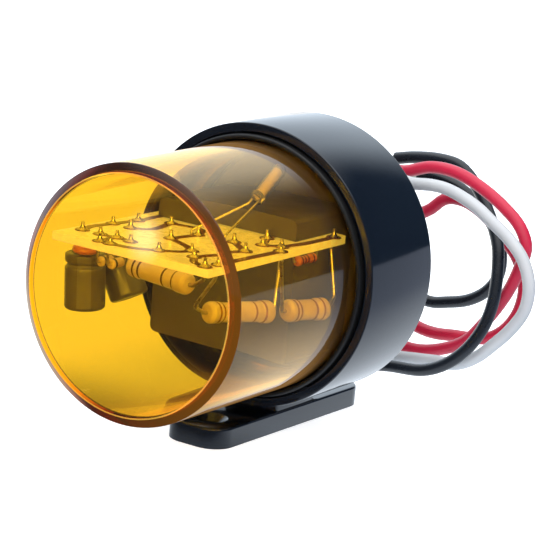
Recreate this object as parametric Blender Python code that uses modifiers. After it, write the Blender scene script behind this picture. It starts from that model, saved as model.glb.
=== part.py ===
"""Barricade warning light: a clear amber lens cup in a black moulded housing on a flat foot.

Metres, +Z up. The light looks along -Y. The origin is on the ground under the middle of the
light, where the foot stands. "Depth" below is the distance behind the lens window, along +Y.
"""

import math

import bmesh
import bpy
from mathutils import Matrix, Vector

MM = 0.001

# ---------------------------------------------------------------- driving dimensions
GAP = 0.3 * MM                      # clearance between pieces that touch
OVERALL_LENGTH = 79.0 * MM          # lens window to the rear end of the foot
AXIS_HEIGHT = 34.2 * MM             # lens axis above the ground

LENS_RADIUS = 25.4 * MM             # at the front, where the cup is widest
LENS_DRAFT = 0.1 * MM               # how much narrower the cup is at its open end
LENS_LENGTH = 49.2 * MM
LENS_WALL = 2.0 * MM
LENS_WINDOW = 1.8 * MM              # thickness of the flat front
LENS_CHAMFER_WIDTH = 1.9 * MM
LENS_CHAMFER_DEPTH = 1.2 * MM
LENS_EDGE_ROUND = 0.25 * MM
LENS_INNER_FILLET = 1.2 * MM

HOUSING_DEPTH = 41.3 * MM           # depth of the housing's front edge
HOUSING_LENGTH = 22.7 * MM
HOUSING_WALL = 1.9 * MM             # outside of the gasket
HOUSING_DRAFT = 0.1 * MM
HOUSING_LIP_ROUND = 0.3 * MM
HOUSING_REAR_ROUND = 0.4 * MM
REAR_WALL = 2.5 * MM
GASKET_WIDTH = 1.1 * MM             # radial thickness of the rubber ring
GASKET_LENGTH = 4.4 * MM
GASKET_PROUD = 1.4 * MM             # how far its bead stands out of the housing
LENS_SEAT_WIDTH = 1.45 * MM         # shoulder that the open end of the cup rests on

FOOT_LENGTH = 54.4 * MM
FOOT_WIDTH = 14.2 * MM
FOOT_THICKNESS = 4.2 * MM
FOOT_CORNER = 5.0 * MM
FOOT_EDGE_ROUND = 0.5 * MM
PEDESTAL_WIDTH = 13.2 * MM
PEDESTAL_MARGIN = 4.6 * MM          # how far the pedestal stays inside the housing's length
MOUNT_HOLE_DIAMETER = 4.4 * MM
MOUNT_COUNTERSINK = 7.2 * MM
MOUNT_COUNTERSINK_DEPTH = 1.5 * MM
MOUNT_HOLE_INSET = 7.2 * MM         # hole centre from each end of the foot

GROMMET_RADIUS = 6.0 * MM
GROMMET_FLANGE = 1.8 * MM
GROMMET_LIP = 1.5 * MM

HOLDER_DEPTH = 32.2 * MM            # front face of the block that carries the board
HOLDER_LEFT = 16.2 * MM
HOLDER_RIGHT = 15.0 * MM
HOLDER_TOP = 13.0 * MM              # above the axis
HOLDER_BOTTOM = 15.6 * MM           # below the axis
HOLDER_CORNER = 1.4 * MM
HOLDER_BASE_LENGTH = 8.2 * MM
HOLDER_CHANNEL_RADIUS = 7.0 * MM
HOLDER_CHANNEL_HEIGHT = 1.2 * MM

BOARD_WIDTH = 37.2 * MM
BOARD_LENGTH = 45.0 * MM
BOARD_THICKNESS = 1.6 * MM
BOARD_OFFSET = -1.3 * MM            # the board sits a little left of the axis
BOARD_HEIGHT = 7.0 * MM             # underside above the axis
BOARD_CORNER = 0.6 * MM

RESISTOR_DIAMETER = 4.4 * MM
RESISTOR_CAP_DIAMETER = 4.8 * MM
RESISTOR_CAP_LENGTH = 2.6 * MM
LEAD_DIAMETER = 0.8 * MM
THIN_LEAD_DIAMETER = 0.5 * MM
LEAD_BEND = 1.2 * MM
LEAD_STRAIGHT = 0.9 * MM            # straight run before a lead may bend

CAPACITOR_LARGE_DIAMETER = 9.8 * MM
CAPACITOR_LARGE_LENGTH = 12.4 * MM
CAPACITOR_SMALL_DIAMETER = 8.0 * MM
CAPACITOR_SMALL_LENGTH = 10.6 * MM
CAPACITOR_SMALL_LEAN = math.radians(24)
DISC_DIAMETER = 5.0 * MM
DISC_THICKNESS = 1.5 * MM
DIODE_DIAMETER = 2.0 * MM
DIODE_LENGTH = 3.6 * MM
SMALL_RESISTOR_DIAMETER = 1.9 * MM
SMALL_RESISTOR_LENGTH = 6.3 * MM
LAMP_DIAMETER = 3.0 * MM
LAMP_LENGTH = 10.0 * MM

SOLDER_DIAMETER = 2.2 * MM
SOLDER_HEIGHT = 1.3 * MM

WIRE_DIAMETER = 2.6 * MM            # outside of the insulation
WIRE_HOLE_CLEARANCE = 0.3 * MM
CORE_DIAMETER = 1.4 * MM            # stripped strands
CORE_LENGTH = 7.0 * MM
WIRE_STEP = 6.0 * MM                # distance between points on a lead's centre line
WIRE_EXITS = ((-3.0, 1.0), (3.0, 1.0), (0.0, -2.6))     # mm from the axis: x, z

ROUND_STEPS = 64
SMALL_STEPS = 20
THIN_STEPS = 16
WIRE_BEVEL_RESOLUTION = 2

# ---------------------------------------------------------------- places that follow from them
FRONT = -OVERALL_LENGTH / 2
REAR = OVERALL_LENGTH / 2
HOUSING_REAR = HOUSING_DEPTH + HOUSING_LENGTH
LENS_BORE = LENS_RADIUS - LENS_DRAFT + GAP
GASKET_BORE = LENS_BORE + GASKET_WIDTH + GAP
GASKET_FRONT = HOUSING_DEPTH - GASKET_PROUD
HOUSING_RADIUS = GASKET_BORE + HOUSING_WALL
LENS_SEAT = LENS_LENGTH + GAP
HOLDER_BORE = LENS_BORE - LENS_SEAT_WIDTH
WALL_FACE = HOUSING_REAR - REAR_WALL
BOARD_FRONT = LENS_WINDOW + GAP
BOARD_REAR = BOARD_FRONT + BOARD_LENGTH
BOARD_TOP = BOARD_HEIGHT + BOARD_THICKNESS
WIRE_HOLE = WIRE_DIAMETER / 2 + WIRE_HOLE_CLEARANCE
WIRE_START = WALL_FACE - GROMMET_LIP - GAP


def place(x, depth, height):
    """A point from its offset to the right, its depth, and its height above the axis."""
    return Vector((x, FRONT + depth, AXIS_HEIGHT + height))


# ---------------------------------------------------------------- scene and materials
def clear_scene():
    for old in list(bpy.data.objects):
        bpy.data.objects.remove(old, do_unlink=True)


def new_collection(name):
    collection = bpy.data.collections.new(name)
    bpy.context.scene.collection.children.link(collection)
    return collection


def linear(channel):
    value = channel / 255
    return value / 12.92 if value <= 0.04045 else ((value + 0.055) / 1.055) ** 2.4


def material(name, red, green, blue, roughness, metallic=0.0, alpha=1.0):
    made = bpy.data.materials.new(name)
    made.use_nodes = True
    shader = made.node_tree.nodes["Principled BSDF"]
    shader.inputs["Base Color"].default_value = (linear(red), linear(green), linear(blue), 1)
    shader.inputs["Roughness"].default_value = roughness
    shader.inputs["Metallic"].default_value = metallic
    shader.inputs["Alpha"].default_value = alpha
    return made


def link(name, data, finish, collection):
    made = bpy.data.objects.new(name, data)
    collection.objects.link(made)
    if finish is not None:
        data.materials.append(finish)
    return made


def as_cutter(cutter):
    cutter.hide_render = True
    cutter.display_type = "WIRE"
    return cutter


def boolean(target, other, operation):
    step = target.modifiers.new(operation.lower() + "_" + other.name, "BOOLEAN")
    step.operation = operation
    step.object = other
    step.solver = "EXACT"


# ---------------------------------------------------------------- shape makers
def axis_matrix(origin, direction):
    """Local +Z points against the direction, so depth grows along the direction."""
    turn = (-Vector(direction)).to_track_quat("Z", "X").to_matrix().to_4x4()
    return Matrix.Translation(Vector(origin)) @ turn


def turned(name, profile, finish, collection, origin=None, direction=(0, 1, 0), steps=ROUND_STEPS,
           ring=False):
    """Turn (radius, depth) points about an axis, outer side from front to rear."""
    mesh = bpy.data.meshes.new(name)
    count = len(profile)
    edges = [(i, i + 1) for i in range(count - 1)]
    if ring:
        edges.append((count - 1, 0))
    mesh.from_pydata([(radius, 0, -depth) for radius, depth in profile], edges, [])
    made = link(name, mesh, finish, collection)
    made.matrix_world = axis_matrix(place(0, 0, 0) if origin is None else origin, direction)
    screw = made.modifiers.new("turn", "SCREW")
    screw.axis = "Z"
    screw.angle = 2 * math.pi
    screw.steps = steps
    screw.render_steps = steps
    screw.use_merge_vertices = True
    screw.merge_threshold = 0.00001
    screw.use_smooth_shade = True
    return made


def arc(center_radius, center_depth, size, start, end, count):
    """Points on a quarter or so of a circle, angles in degrees from the outward radius."""
    points = []
    for i in range(count + 1):
        angle = math.radians(start + (end - start) * i / count)
        points.append((center_radius + size * math.cos(angle), center_depth + size * math.sin(angle)))
    return points


def block(name, low, high, finish, collection, round_edges=0.0, segments=2, only_along=None):
    """A box between two corners, with rounded edges; only_along keeps those along one axis."""
    low = Vector(low)
    high = Vector(high)
    mesh = bpy.data.meshes.new(name)
    shape = bmesh.new()
    bmesh.ops.create_cube(shape, size=1.0)
    bmesh.ops.scale(shape, vec=high - low, verts=shape.verts)
    bmesh.ops.translate(shape, vec=(low + high) / 2, verts=shape.verts)
    if round_edges > 0:
        edges = list(shape.edges)
        if only_along is not None:
            edges = [e for e in edges if abs((e.verts[0].co - e.verts[1].co).normalized()[only_along]) > 0.9]
        bmesh.ops.bevel(shape, geom=edges, offset=round_edges, segments=segments, profile=0.5,
                        affect="EDGES")
    shape.to_mesh(mesh)
    shape.free()
    return link(name, mesh, finish, collection)


def rod(name, start, end, radius, finish, collection, steps=SMALL_STEPS, end_radius=None):
    """A straight round bar, or a cone where end_radius differs."""
    start = Vector(start)
    end = Vector(end)
    mesh = bpy.data.meshes.new(name)
    shape = bmesh.new()
    bmesh.ops.create_cone(shape, cap_ends=True, segments=steps, radius1=radius,
                          radius2=radius if end_radius is None else end_radius,
                          depth=(end - start).length)
    turn = (end - start).to_track_quat("Z", "X").to_matrix().to_4x4()
    shape.transform(Matrix.Translation((start + end) / 2) @ turn)
    shape.to_mesh(mesh)
    shape.free()
    return link(name, mesh, finish, collection)


def tube(name, path, diameter, finish, collection, bevel_resolution=1):
    """A round wire along a list of points."""
    curve = bpy.data.curves.new(name, "CURVE")
    curve.dimensions = "3D"
    curve.bevel_depth = diameter / 2
    curve.bevel_resolution = bevel_resolution
    curve.use_fill_caps = True
    spline = curve.splines.new("POLY")
    spline.points.add(len(path) - 1)
    for point, position in zip(spline.points, path):
        point.co = (*position, 1)
    return link(name, curve, finish, collection)


def tubes(name, paths, diameter, finish, collection):
    """A numbered wire for each path."""
    for index, path in enumerate(paths):
        tube("%s_%d" % (name, index + 1), path, diameter, finish, collection)


def smooth_route(points, step):
    """Even steps along a centripetal Catmull-Rom curve through the points."""
    knots = [2 * points[0] - points[1], *points, 2 * points[-1] - points[-2]]
    fine = []
    for a, b, c, d in zip(knots, knots[1:], knots[2:], knots[3:]):
        t1 = (b - a).length ** 0.5
        t2 = t1 + (c - b).length ** 0.5
        t3 = t2 + (d - c).length ** 0.5
        for i in range(24):
            t = t1 + (t2 - t1) * i / 24
            ab = a.lerp(b, t / t1)
            bc = b.lerp(c, (t - t1) / (t2 - t1))
            cd = c.lerp(d, (t - t2) / (t3 - t2))
            abc = ab.lerp(bc, t / t2)
            bcd = bc.lerp(cd, (t - t1) / (t3 - t1))
            fine.append(abc.lerp(bcd, (t - t1) / (t2 - t1)))
    fine.append(points[-1])
    travelled = [0.0]
    for a, b in zip(fine, fine[1:]):
        travelled.append(travelled[-1] + (b - a).length)
    count = round(travelled[-1] / step)
    route = []
    index = 0
    for i in range(count + 1):
        target = travelled[-1] * i / count
        while index < len(fine) - 2 and travelled[index + 1] < target:
            index += 1
        share = (target - travelled[index]) / (travelled[index + 1] - travelled[index])
        route.append(fine[index].lerp(fine[index + 1], min(share, 1.0)))
    return route, travelled[-1]


def rounded_path(points, bend, count=3):
    """A polyline with its inner corners rounded, for a bent component lead."""
    path = [Vector(points[0])]
    for before, corner, after in zip(points, points[1:], points[2:]):
        before, corner, after = Vector(before), Vector(corner), Vector(after)
        reach = min(bend, (corner - before).length * 0.45, (after - corner).length * 0.45)
        start = corner + (before - corner).normalized() * reach
        end = corner + (after - corner).normalized() * reach
        for i in range(count + 1):
            t = i / count
            path.append(start * (1 - t) ** 2 + corner * 2 * t * (1 - t) + end * t ** 2)
    path.append(Vector(points[-1]))
    return path


# ---------------------------------------------------------------- lens, housing and seal
def lens_outer(depth):
    """Radius of the drafted outside of the lens cup."""
    return LENS_RADIUS - LENS_DRAFT * (depth - LENS_CHAMFER_DEPTH) / (LENS_LENGTH - LENS_CHAMFER_DEPTH)


def make_lens(finish, collection):
    flat = LENS_RADIUS - LENS_CHAMFER_WIDTH
    inner_front = lens_outer(LENS_WINDOW) - LENS_WALL
    slope = math.degrees(math.atan2(LENS_CHAMFER_DEPTH, LENS_CHAMFER_WIDTH))
    edge = LENS_EDGE_ROUND
    profile = [(0, 0), (flat - edge, 0)]
    profile.append((flat + edge * math.cos(math.radians(slope)), edge * math.sin(math.radians(slope))))
    profile.append((LENS_RADIUS - edge, LENS_CHAMFER_DEPTH - edge * math.tan(math.radians(slope))))
    profile.append((LENS_RADIUS, LENS_CHAMFER_DEPTH + edge))
    profile.append((lens_outer(LENS_LENGTH), LENS_LENGTH))
    profile.append((lens_outer(LENS_LENGTH) - LENS_WALL, LENS_LENGTH))
    fillet = arc(inner_front - LENS_INNER_FILLET, LENS_WINDOW + LENS_INNER_FILLET, LENS_INNER_FILLET,
                 0, -90, 3)
    profile += fillet
    profile.append((0, LENS_WINDOW))
    return turned("lens", profile, finish, collection)


def make_gasket(finish, collection):
    inner = LENS_BORE
    outer = LENS_BORE + GASKET_WIDTH
    rear = GASKET_FRONT + GASKET_LENGTH
    bead = GASKET_WIDTH / 2
    profile = arc((inner + outer) / 2, GASKET_FRONT + bead, bead, -180, 0, 4)
    profile += [(outer, rear), (inner, rear)]
    return turned("lens_gasket", profile, finish, collection, ring=True)


def make_housing(finish, collection, cutters):
    front = HOUSING_DEPTH
    gasket_seat = GASKET_FRONT + GASKET_LENGTH + GAP
    rear_radius = HOUSING_RADIUS - HOUSING_DRAFT
    hole = GROMMET_RADIUS + GAP
    profile = arc(HOUSING_RADIUS - HOUSING_LIP_ROUND, front + HOUSING_LIP_ROUND, HOUSING_LIP_ROUND,
                  -90, 0, 2)
    profile += arc(rear_radius - HOUSING_REAR_ROUND, HOUSING_REAR - HOUSING_REAR_ROUND,
                   HOUSING_REAR_ROUND, 0, 90, 2)
    profile += [(hole, HOUSING_REAR), (hole, WALL_FACE), (HOLDER_BORE, WALL_FACE),
                (HOLDER_BORE, LENS_SEAT), (LENS_BORE, LENS_SEAT), (LENS_BORE, gasket_seat),
                (GASKET_BORE, gasket_seat), (GASKET_BORE, front)]
    housing = turned("housing", profile, finish, collection, ring=True)

    foot_front = REAR - FOOT_LENGTH
    half = FOOT_WIDTH / 2
    foot = block("foot_form", (-half, foot_front, 0), (half, REAR, FOOT_THICKNESS), None, cutters,
                 FOOT_CORNER, 6, only_along=2)
    round_upper_rim(foot, FOOT_THICKNESS, FOOT_EDGE_ROUND)
    boolean(housing, as_cutter(foot), "UNION")

    saddle = PEDESTAL_WIDTH / 2
    under_axis = math.sqrt((HOUSING_RADIUS - HOUSING_DRAFT) ** 2 - saddle ** 2)
    pedestal = block("pedestal_form",
                     (-saddle, FRONT + HOUSING_DEPTH + PEDESTAL_MARGIN, FOOT_THICKNESS / 2),
                     (saddle, FRONT + HOUSING_REAR - PEDESTAL_MARGIN, AXIS_HEIGHT - under_axis + GAP),
                     None, cutters)
    boolean(housing, as_cutter(pedestal), "UNION")

    for end, y in (("front", foot_front + MOUNT_HOLE_INSET), ("rear", REAR - MOUNT_HOLE_INSET)):
        drill = rod("mount_hole_" + end, (0, y, -MM), (0, y, FOOT_THICKNESS + MM),
                    MOUNT_HOLE_DIAMETER / 2, None, cutters, 24)
        boolean(housing, as_cutter(drill), "DIFFERENCE")
        low = FOOT_THICKNESS - MOUNT_COUNTERSINK_DEPTH
        sink = rod("countersink_" + end, (0, y, low), (0, y, FOOT_THICKNESS + MOUNT_COUNTERSINK_DEPTH),
                   MOUNT_HOLE_DIAMETER / 2, None, cutters, 24,
                   end_radius=MOUNT_COUNTERSINK - MOUNT_HOLE_DIAMETER / 2)
        boolean(housing, as_cutter(sink), "DIFFERENCE")
    return housing


def round_upper_rim(plate, top, size):
    """Round the edges of a plate that lie in its top face."""
    shape = bmesh.new()
    shape.from_mesh(plate.data)
    rim = [e for e in shape.edges if all(abs(v.co.z - top) < 0.00001 for v in e.verts)]
    bmesh.ops.bevel(shape, geom=rim, offset=size, segments=2, profile=0.5, affect="EDGES")
    shape.to_mesh(plate.data)
    shape.free()


def make_grommet(finish, collection, cutters):
    flange = GROMMET_RADIUS + GROMMET_FLANGE
    inside = WALL_FACE - GAP
    outside = HOUSING_REAR + GAP
    profile = [(0, inside - GROMMET_LIP), (GROMMET_RADIUS, inside - GROMMET_LIP), (flange, inside),
               (GROMMET_RADIUS, inside), (GROMMET_RADIUS, outside), (flange, outside)]
    profile += arc(flange - GROMMET_LIP / 2, outside + GROMMET_LIP / 2, GROMMET_LIP / 2, 30, 90, 2)
    profile.append((0, outside + GROMMET_LIP))
    grommet = turned("cable_grommet", profile, finish, collection, steps=32)
    for index, (x, z) in enumerate(WIRE_EXITS):
        start = place(x * MM, inside - 2 * GROMMET_LIP, z * MM)
        end = place(x * MM, outside + 2 * GROMMET_LIP, z * MM)
        drill = rod("wire_hole_%d" % index, start, end, WIRE_HOLE, None, cutters, 16)
        boolean(grommet, as_cutter(drill), "DIFFERENCE")
    return grommet


# ---------------------------------------------------------------- inside: holder and board
def make_holder(finish, collection, cutters):
    radius = HOLDER_BORE - GAP
    rear = WALL_FACE - GAP
    base_front = rear - HOLDER_BASE_LENGTH
    pocket = GROMMET_RADIUS + GROMMET_FLANGE + GAP
    profile = [(0, base_front), (radius - MM, base_front), (radius, base_front + MM), (radius, rear),
               (pocket, rear), (pocket, rear - GROMMET_LIP - GAP), (0, rear - GROMMET_LIP - GAP)]
    holder = turned("board_holder", profile, finish, collection)
    nose = block("holder_nose", place(-HOLDER_LEFT, HOLDER_DEPTH, -HOLDER_BOTTOM),
                 place(HOLDER_RIGHT, base_front + MM, HOLDER_TOP), None, cutters, HOLDER_CORNER, 3,
                 only_along=1)
    boolean(holder, as_cutter(nose), "UNION")
    slot = block("board_slot", place(-HOLDER_BORE, HOLDER_DEPTH - MM, BOARD_HEIGHT - GAP),
                 place(HOLDER_BORE, BOARD_REAR + GAP, BOARD_TOP + GAP), None, cutters)
    boolean(holder, as_cutter(slot), "DIFFERENCE")
    channel = rod("wire_channel", place(0, BOARD_REAR - 2 * MM, HOLDER_CHANNEL_HEIGHT),
                  place(0, rear + MM, HOLDER_CHANNEL_HEIGHT), HOLDER_CHANNEL_RADIUS, None, cutters, 24)
    boolean(holder, as_cutter(channel), "DIFFERENCE")
    return holder


def make_board(finish, collection):
    half = BOARD_WIDTH / 2
    return block("circuit_board", place(BOARD_OFFSET - half, BOARD_FRONT, BOARD_HEIGHT),
                 place(BOARD_OFFSET + half, BOARD_REAR, BOARD_TOP), finish, collection, BOARD_CORNER, 2,
                 only_along=2)


def under_board(x, depth, drop=0.0):
    """A point below the board, given in mm from the axis, the window and the board's underside."""
    return place(x * MM, depth * MM, BOARD_HEIGHT - drop * MM)


def lead_top(x, depth):
    """Where a component lead meets the underside of the board."""
    return place(x * MM, depth * MM, BOARD_HEIGHT - GAP)


def hooked_lead(foot, outward):
    """A thin lead that runs outward from a small part and turns up to the board."""
    corner = foot + outward
    return rounded_path([foot, corner, Vector((corner.x, corner.y, lead_top(0, 0).z))], LEAD_BEND)


def make_power_resistor(name, start, end, front_lead, rear_lead, body_finish, lead_finish, collection):
    """A wire-ended resistor with a fatter cap at each end, and its two bent leads."""
    axis = end - start
    length = axis.length
    direction = axis.normalized()
    cap = RESISTOR_CAP_DIAMETER / 2
    body = RESISTOR_DIAMETER / 2
    tip = LEAD_DIAMETER
    profile = [(0, 0), (tip, 0)]
    profile += arc(cap - 0.9 * MM, 0.9 * MM, 0.9 * MM, -80, 0, 3)
    profile += [(cap, RESISTOR_CAP_LENGTH), (body, RESISTOR_CAP_LENGTH + 0.5 * MM),
                (body, length - RESISTOR_CAP_LENGTH - 0.5 * MM), (cap, length - RESISTOR_CAP_LENGTH)]
    profile += arc(cap - 0.9 * MM, length - 0.9 * MM, 0.9 * MM, 0, 80, 3)
    profile += [(tip, length), (0, length)]
    turned(name, profile, body_finish, collection, start, direction, THIN_STEPS)
    outward = direction * LEAD_STRAIGHT
    near = direction * GAP
    below = Vector((0, 0, LEAD_STRAIGHT))
    paths = []
    for foot, away, knees, top in ((start - near, -outward, front_lead[0], front_lead[1]),
                                   (end + near, outward, rear_lead[0], rear_lead[1])):
        points = [foot, foot + away, *knees, top - below, top]
        paths.append(rounded_path(points, LEAD_BEND))
    tubes(name + "_lead", paths, LEAD_DIAMETER, lead_finish, collection)


def make_power_resistors(body_finish, lead_finish, collection):
    make_power_resistor("resistor_front", under_board(-4.2, 7.7, 2.7), under_board(11.6, 4.5, 2.7),
                        ([], lead_top(-5.5, 8.3)), ([], lead_top(15.2, 3.8)),
                        body_finish, lead_finish, collection)
    make_power_resistor("resistor_middle", under_board(12.8, 9.6, 8.7), under_board(16.2, 23.4, 10.1),
                        ([under_board(12.4, 5.6, 7.0)], lead_top(16.0, 6.6)),
                        ([], lead_top(15.0, 27.3)), body_finish, lead_finish, collection)
    make_power_resistor("resistor_rear", under_board(17.2, 27.2, 10.3), under_board(19.0, 38.4, 11.1),
                        ([], lead_top(17.4, 24.0)), ([under_board(18.6, 42.4, 9.6)], lead_top(16.2, 43.4)),
                        body_finish, lead_finish, collection)


def make_capacitor(name, top, direction, diameter, length, finish, collection):
    """A radial electrolytic can: crimped neck by the board, rounded far rim."""
    radius = diameter / 2
    rim = 0.8 * MM
    profile = [(0, 0), (radius - rim, 0)]
    profile += arc(radius - rim, rim * 0.7, rim * 0.7, -60, 0, 2)
    profile += [(radius, 1.6 * MM), (radius - 0.5 * MM, 2.2 * MM), (radius, 2.8 * MM)]
    profile += arc(radius - rim, length - rim, rim, 0, 90, 3)
    profile.append((0, length))
    turned(name, profile, finish, collection, top, direction, SMALL_STEPS)


def make_capacitors(finish, disc_finish, lead_finish, collection):
    large_top = under_board(-15.0, 8.2, 2.6)
    make_capacitor("capacitor_large", large_top, (0, 0, -1), CAPACITOR_LARGE_DIAMETER,
                   CAPACITOR_LARGE_LENGTH, finish, collection)
    lean = Vector((math.sin(CAPACITOR_SMALL_LEAN), 0, -math.cos(CAPACITOR_SMALL_LEAN)))
    small_top = under_board(-15.2, 18.2, 2.4)
    make_capacitor("capacitor_small", small_top, lean, CAPACITOR_SMALL_DIAMETER,
                   CAPACITOR_SMALL_LENGTH, finish, collection)
    paths = []
    for top, away in ((large_top, Vector((0, 0, -1))), (small_top, lean)):
        for side in (-2.2, 2.2):
            foot = top + Vector((side * MM, 0, 0)) - away * GAP
            foot.z += GAP + abs(side * MM * away.x)
            paths.append([foot, Vector((foot.x, foot.y, lead_top(0, 0).z))])
    disc_top = under_board(-13.6, 4.9, 0.35)
    rod("disc_capacitor", disc_top, disc_top - Vector((0, 0, DISC_THICKNESS)), DISC_DIAMETER / 2,
        disc_finish, collection, 24)
    tubes("capacitor_lead", paths, LEAD_DIAMETER, lead_finish, collection)


def make_diodes(glass_finish, lead_finish, collection):
    """Two small diodes lying side by side under the front edge of the board."""
    paths = []
    for name, x in (("diode_left", -9.1), ("diode_right", -6.6)):
        start = under_board(x, 3.8, 2.5)
        radius = DIODE_DIAMETER / 2
        profile = [(0, 0)]
        profile += arc(radius - 0.4 * MM, 0.4 * MM, 0.4 * MM, -90, 0, 2)
        profile += arc(radius - 0.4 * MM, DIODE_LENGTH - 0.4 * MM, 0.4 * MM, 0, 90, 2)
        profile.append((0, DIODE_LENGTH))
        turned(name, profile, glass_finish, collection, start, (0, 1, 0), THIN_STEPS)
        end = start + Vector((0, DIODE_LENGTH + GAP, 0))
        front = start - Vector((0, GAP, 0))
        paths.append(hooked_lead(front, Vector((0, -LEAD_STRAIGHT, 0))))
        paths.append(hooked_lead(end, Vector((0, LEAD_STRAIGHT, 0))))
    tubes("diode_lead", paths, THIN_LEAD_DIAMETER, lead_finish, collection)


def make_small_resistor(body_finish, lead_finish, collection):
    """A quarter-watt resistor close under the board's right edge."""
    start = under_board(16.2, HOLDER_DEPTH / MM - 1.2, 1.5)
    cap = SMALL_RESISTOR_DIAMETER / 2
    waist = cap - 0.15 * MM
    length = SMALL_RESISTOR_LENGTH
    profile = [(0, 0)]
    profile += arc(cap - 0.5 * MM, 0.5 * MM, 0.5 * MM, -90, 0, 3)
    profile += [(cap, 1.3 * MM), (waist, 1.7 * MM), (waist, length - 1.7 * MM), (cap, length - 1.3 * MM)]
    profile += arc(cap - 0.5 * MM, length - 0.5 * MM, 0.5 * MM, 0, 90, 3)
    profile.append((0, length))
    turned("small_resistor", profile, body_finish, collection, start, (0, 1, 0), THIN_STEPS)
    end = start + Vector((0, length + GAP, 0))
    front = start - Vector((0, GAP, 0))
    paths = [hooked_lead(front, Vector((0, -LEAD_STRAIGHT, 0))),
             hooked_lead(end, Vector((0, LEAD_STRAIGHT, 0)))]
    tubes("small_resistor_lead", paths, THIN_LEAD_DIAMETER, lead_finish, collection)


def make_lamp(glass_finish, lead_finish, collection):
    """A small wire-ended lamp that leans back on its two leads, over the holder."""
    base = place(5.0 * MM, HOLDER_DEPTH, HOLDER_TOP + 2.2 * MM)
    direction = Vector((0.03, 0.83, 0.55)).normalized()
    radius = LAMP_DIAMETER / 2
    profile = [(0, 0), (radius * 0.75, 0), (radius, 0.8 * MM)]
    profile += arc(0, LAMP_LENGTH - radius, radius, 0, 90, 5)
    turned("lamp", profile, glass_finish, collection, base, direction, THIN_STEPS)
    across = Vector((1, 0, 0))
    top = place(0, 0, BOARD_TOP + GAP).z
    paths = []
    for side, foot_x, foot_depth in ((-0.8, -2.6, 24.8), (0.8, 5.2, 22.0)):
        start = base + across * (side * MM) - direction * GAP
        knee = start - direction * LEAD_STRAIGHT
        foot = Vector((foot_x * MM, FRONT + foot_depth * MM, top))
        paths.append(rounded_path([start, knee, foot + Vector((0, 0, LEAD_STRAIGHT)), foot], LEAD_BEND))
    tubes("lamp_lead", paths, THIN_LEAD_DIAMETER, lead_finish, collection)


def add_solder_joints(board, collection):
    """A cone of solder over each lead, fused to the copper side of the board."""
    spots = ((-5.5, 8.3), (15.2, 3.8), (16.0, 7.2), (15.0, 27.3), (17.0, 24.0), (16.6, 43.4), (-17.2, 8.2),
             (-12.8, 8.2), (-17.4, 18.2), (-13.0, 18.2), (-9.1, 3.3), (-6.6, 3.3), (-9.1, 8.7),
             (9.2, 30.8), (12.9, 18.0), (12.0, 25.2), (6.2, 12.4), (-2.7, 17.8), (-1.4, 25.6),
             (-16.4, 25.4), (-11.0, 29.6), (7.2, 22.4), (2.2, 7.0), (9.4, 8.6))
    mesh = bpy.data.meshes.new("solder_joints")
    shape = bmesh.new()
    for x, depth in spots:
        made = bmesh.ops.create_cone(shape, cap_ends=True, segments=8, radius1=SOLDER_DIAMETER / 2,
                                     radius2=SOLDER_DIAMETER / 6, depth=SOLDER_HEIGHT)
        center = place(x * MM, depth * MM, BOARD_TOP - GAP / 2 + SOLDER_HEIGHT / 2)
        bmesh.ops.translate(shape, vec=center, verts=made["verts"])
    shape.to_mesh(mesh)
    shape.free()
    boolean(board, as_cutter(link("solder_joints", mesh, None, collection)), "UNION")


# ---------------------------------------------------------------- leads out of the housing
# Each route is a list of hand-chosen points in mm: x, y from the origin, z above the ground.
WHITE_ROUTE = (
    (-3, 26.6, 35.2), (-3, 28.7, 35.2), (-4.8, 33.7, 34.2), (-9.5, 37.2, 32.7), (-15, 37.7, 35.2),
    (-18, 36.7, 40.2), (-16.5, 35.7, 46.2), (-11, 34.7, 49.7), (-2, 34, 51.5), (8, 33.7, 51.7),
    (16.6, 33.7, 50.5), (21.6, 33.7, 51), (25.6, 33.7, 50.8), (32, 33.7, 48.7), (36.3, 33.7, 46.2),
    (40.6, 33.7, 43.5), (44.3, 33.7, 39.9), (46.3, 33.7, 35.2), (45.8, 34.2, 29.9),
    (42.9, 34.7, 25), (38.7, 35.2, 20.4), (34.9, 35.7, 16.9), (30.3, 36.2, 14.4),
    (25.3, 36.7, 13.8), (20.5, 36.7, 13.2), (8, 36.7, 12.2), (0, 36.7, 14.7), (-7, 37.7, 19.2),
    (-12, 39.7, 26.2), (-14.5, 42.2, 34.2), (-13.5, 44.2, 42.2), (-9.5, 45.7, 48.2),
    (-3.5, 46.6, 51.2), (2.5, 46.9, 50.2))
RED_ROUTE = (
    (3, 26.6, 35.2), (3, 28.7, 35.2), (3, 34.7, 35.7), (3.8, 40.2, 36.4), (6.8, 44.7, 38.8),
    (13.3, 48, 42.3), (16.3, 49, 45.1), (20.9, 49, 45.6), (26.2, 48.7, 43.7), (31.2, 48.2, 40.2),
    (35.6, 47.7, 36.5), (38.2, 47.2, 31.3), (37.8, 46.7, 25.5), (35.3, 46.2, 21.2),
    (32, 45.7, 18.8), (28, 45.2, 18), (24.4, 44.7, 17.8), (19.8, 44.7, 17.3), (15.6, 44.7, 17.7),
    (6, 44.7, 21.2), (-1, 43.7, 25.7), (-5.5, 42.7, 33.2), (-6, 41.7, 41.2), (-2, 40.7, 47.2),
    (4, 39.7, 51), (11.7, 38.7, 51.5), (18.5, 38.2, 53.7), (25.1, 37.7, 53.7), (31.3, 37.7, 51.6),
    (36.5, 37.7, 48.8), (40.7, 37.7, 45.5), (42.5, 37.9, 41.7), (41.3, 38.5, 37.1),
    (39.6, 38.9, 32.7), (37.1, 39.3, 28.1), (33.7, 39.7, 23.2), (29.8, 39.9, 18.6), (25.2, 40, 16),
    (20, 40, 14.4), (15.5, 39.7, 14.3), (7, 39.5, 16.2), (0.5, 39.5, 19.7))
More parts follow.
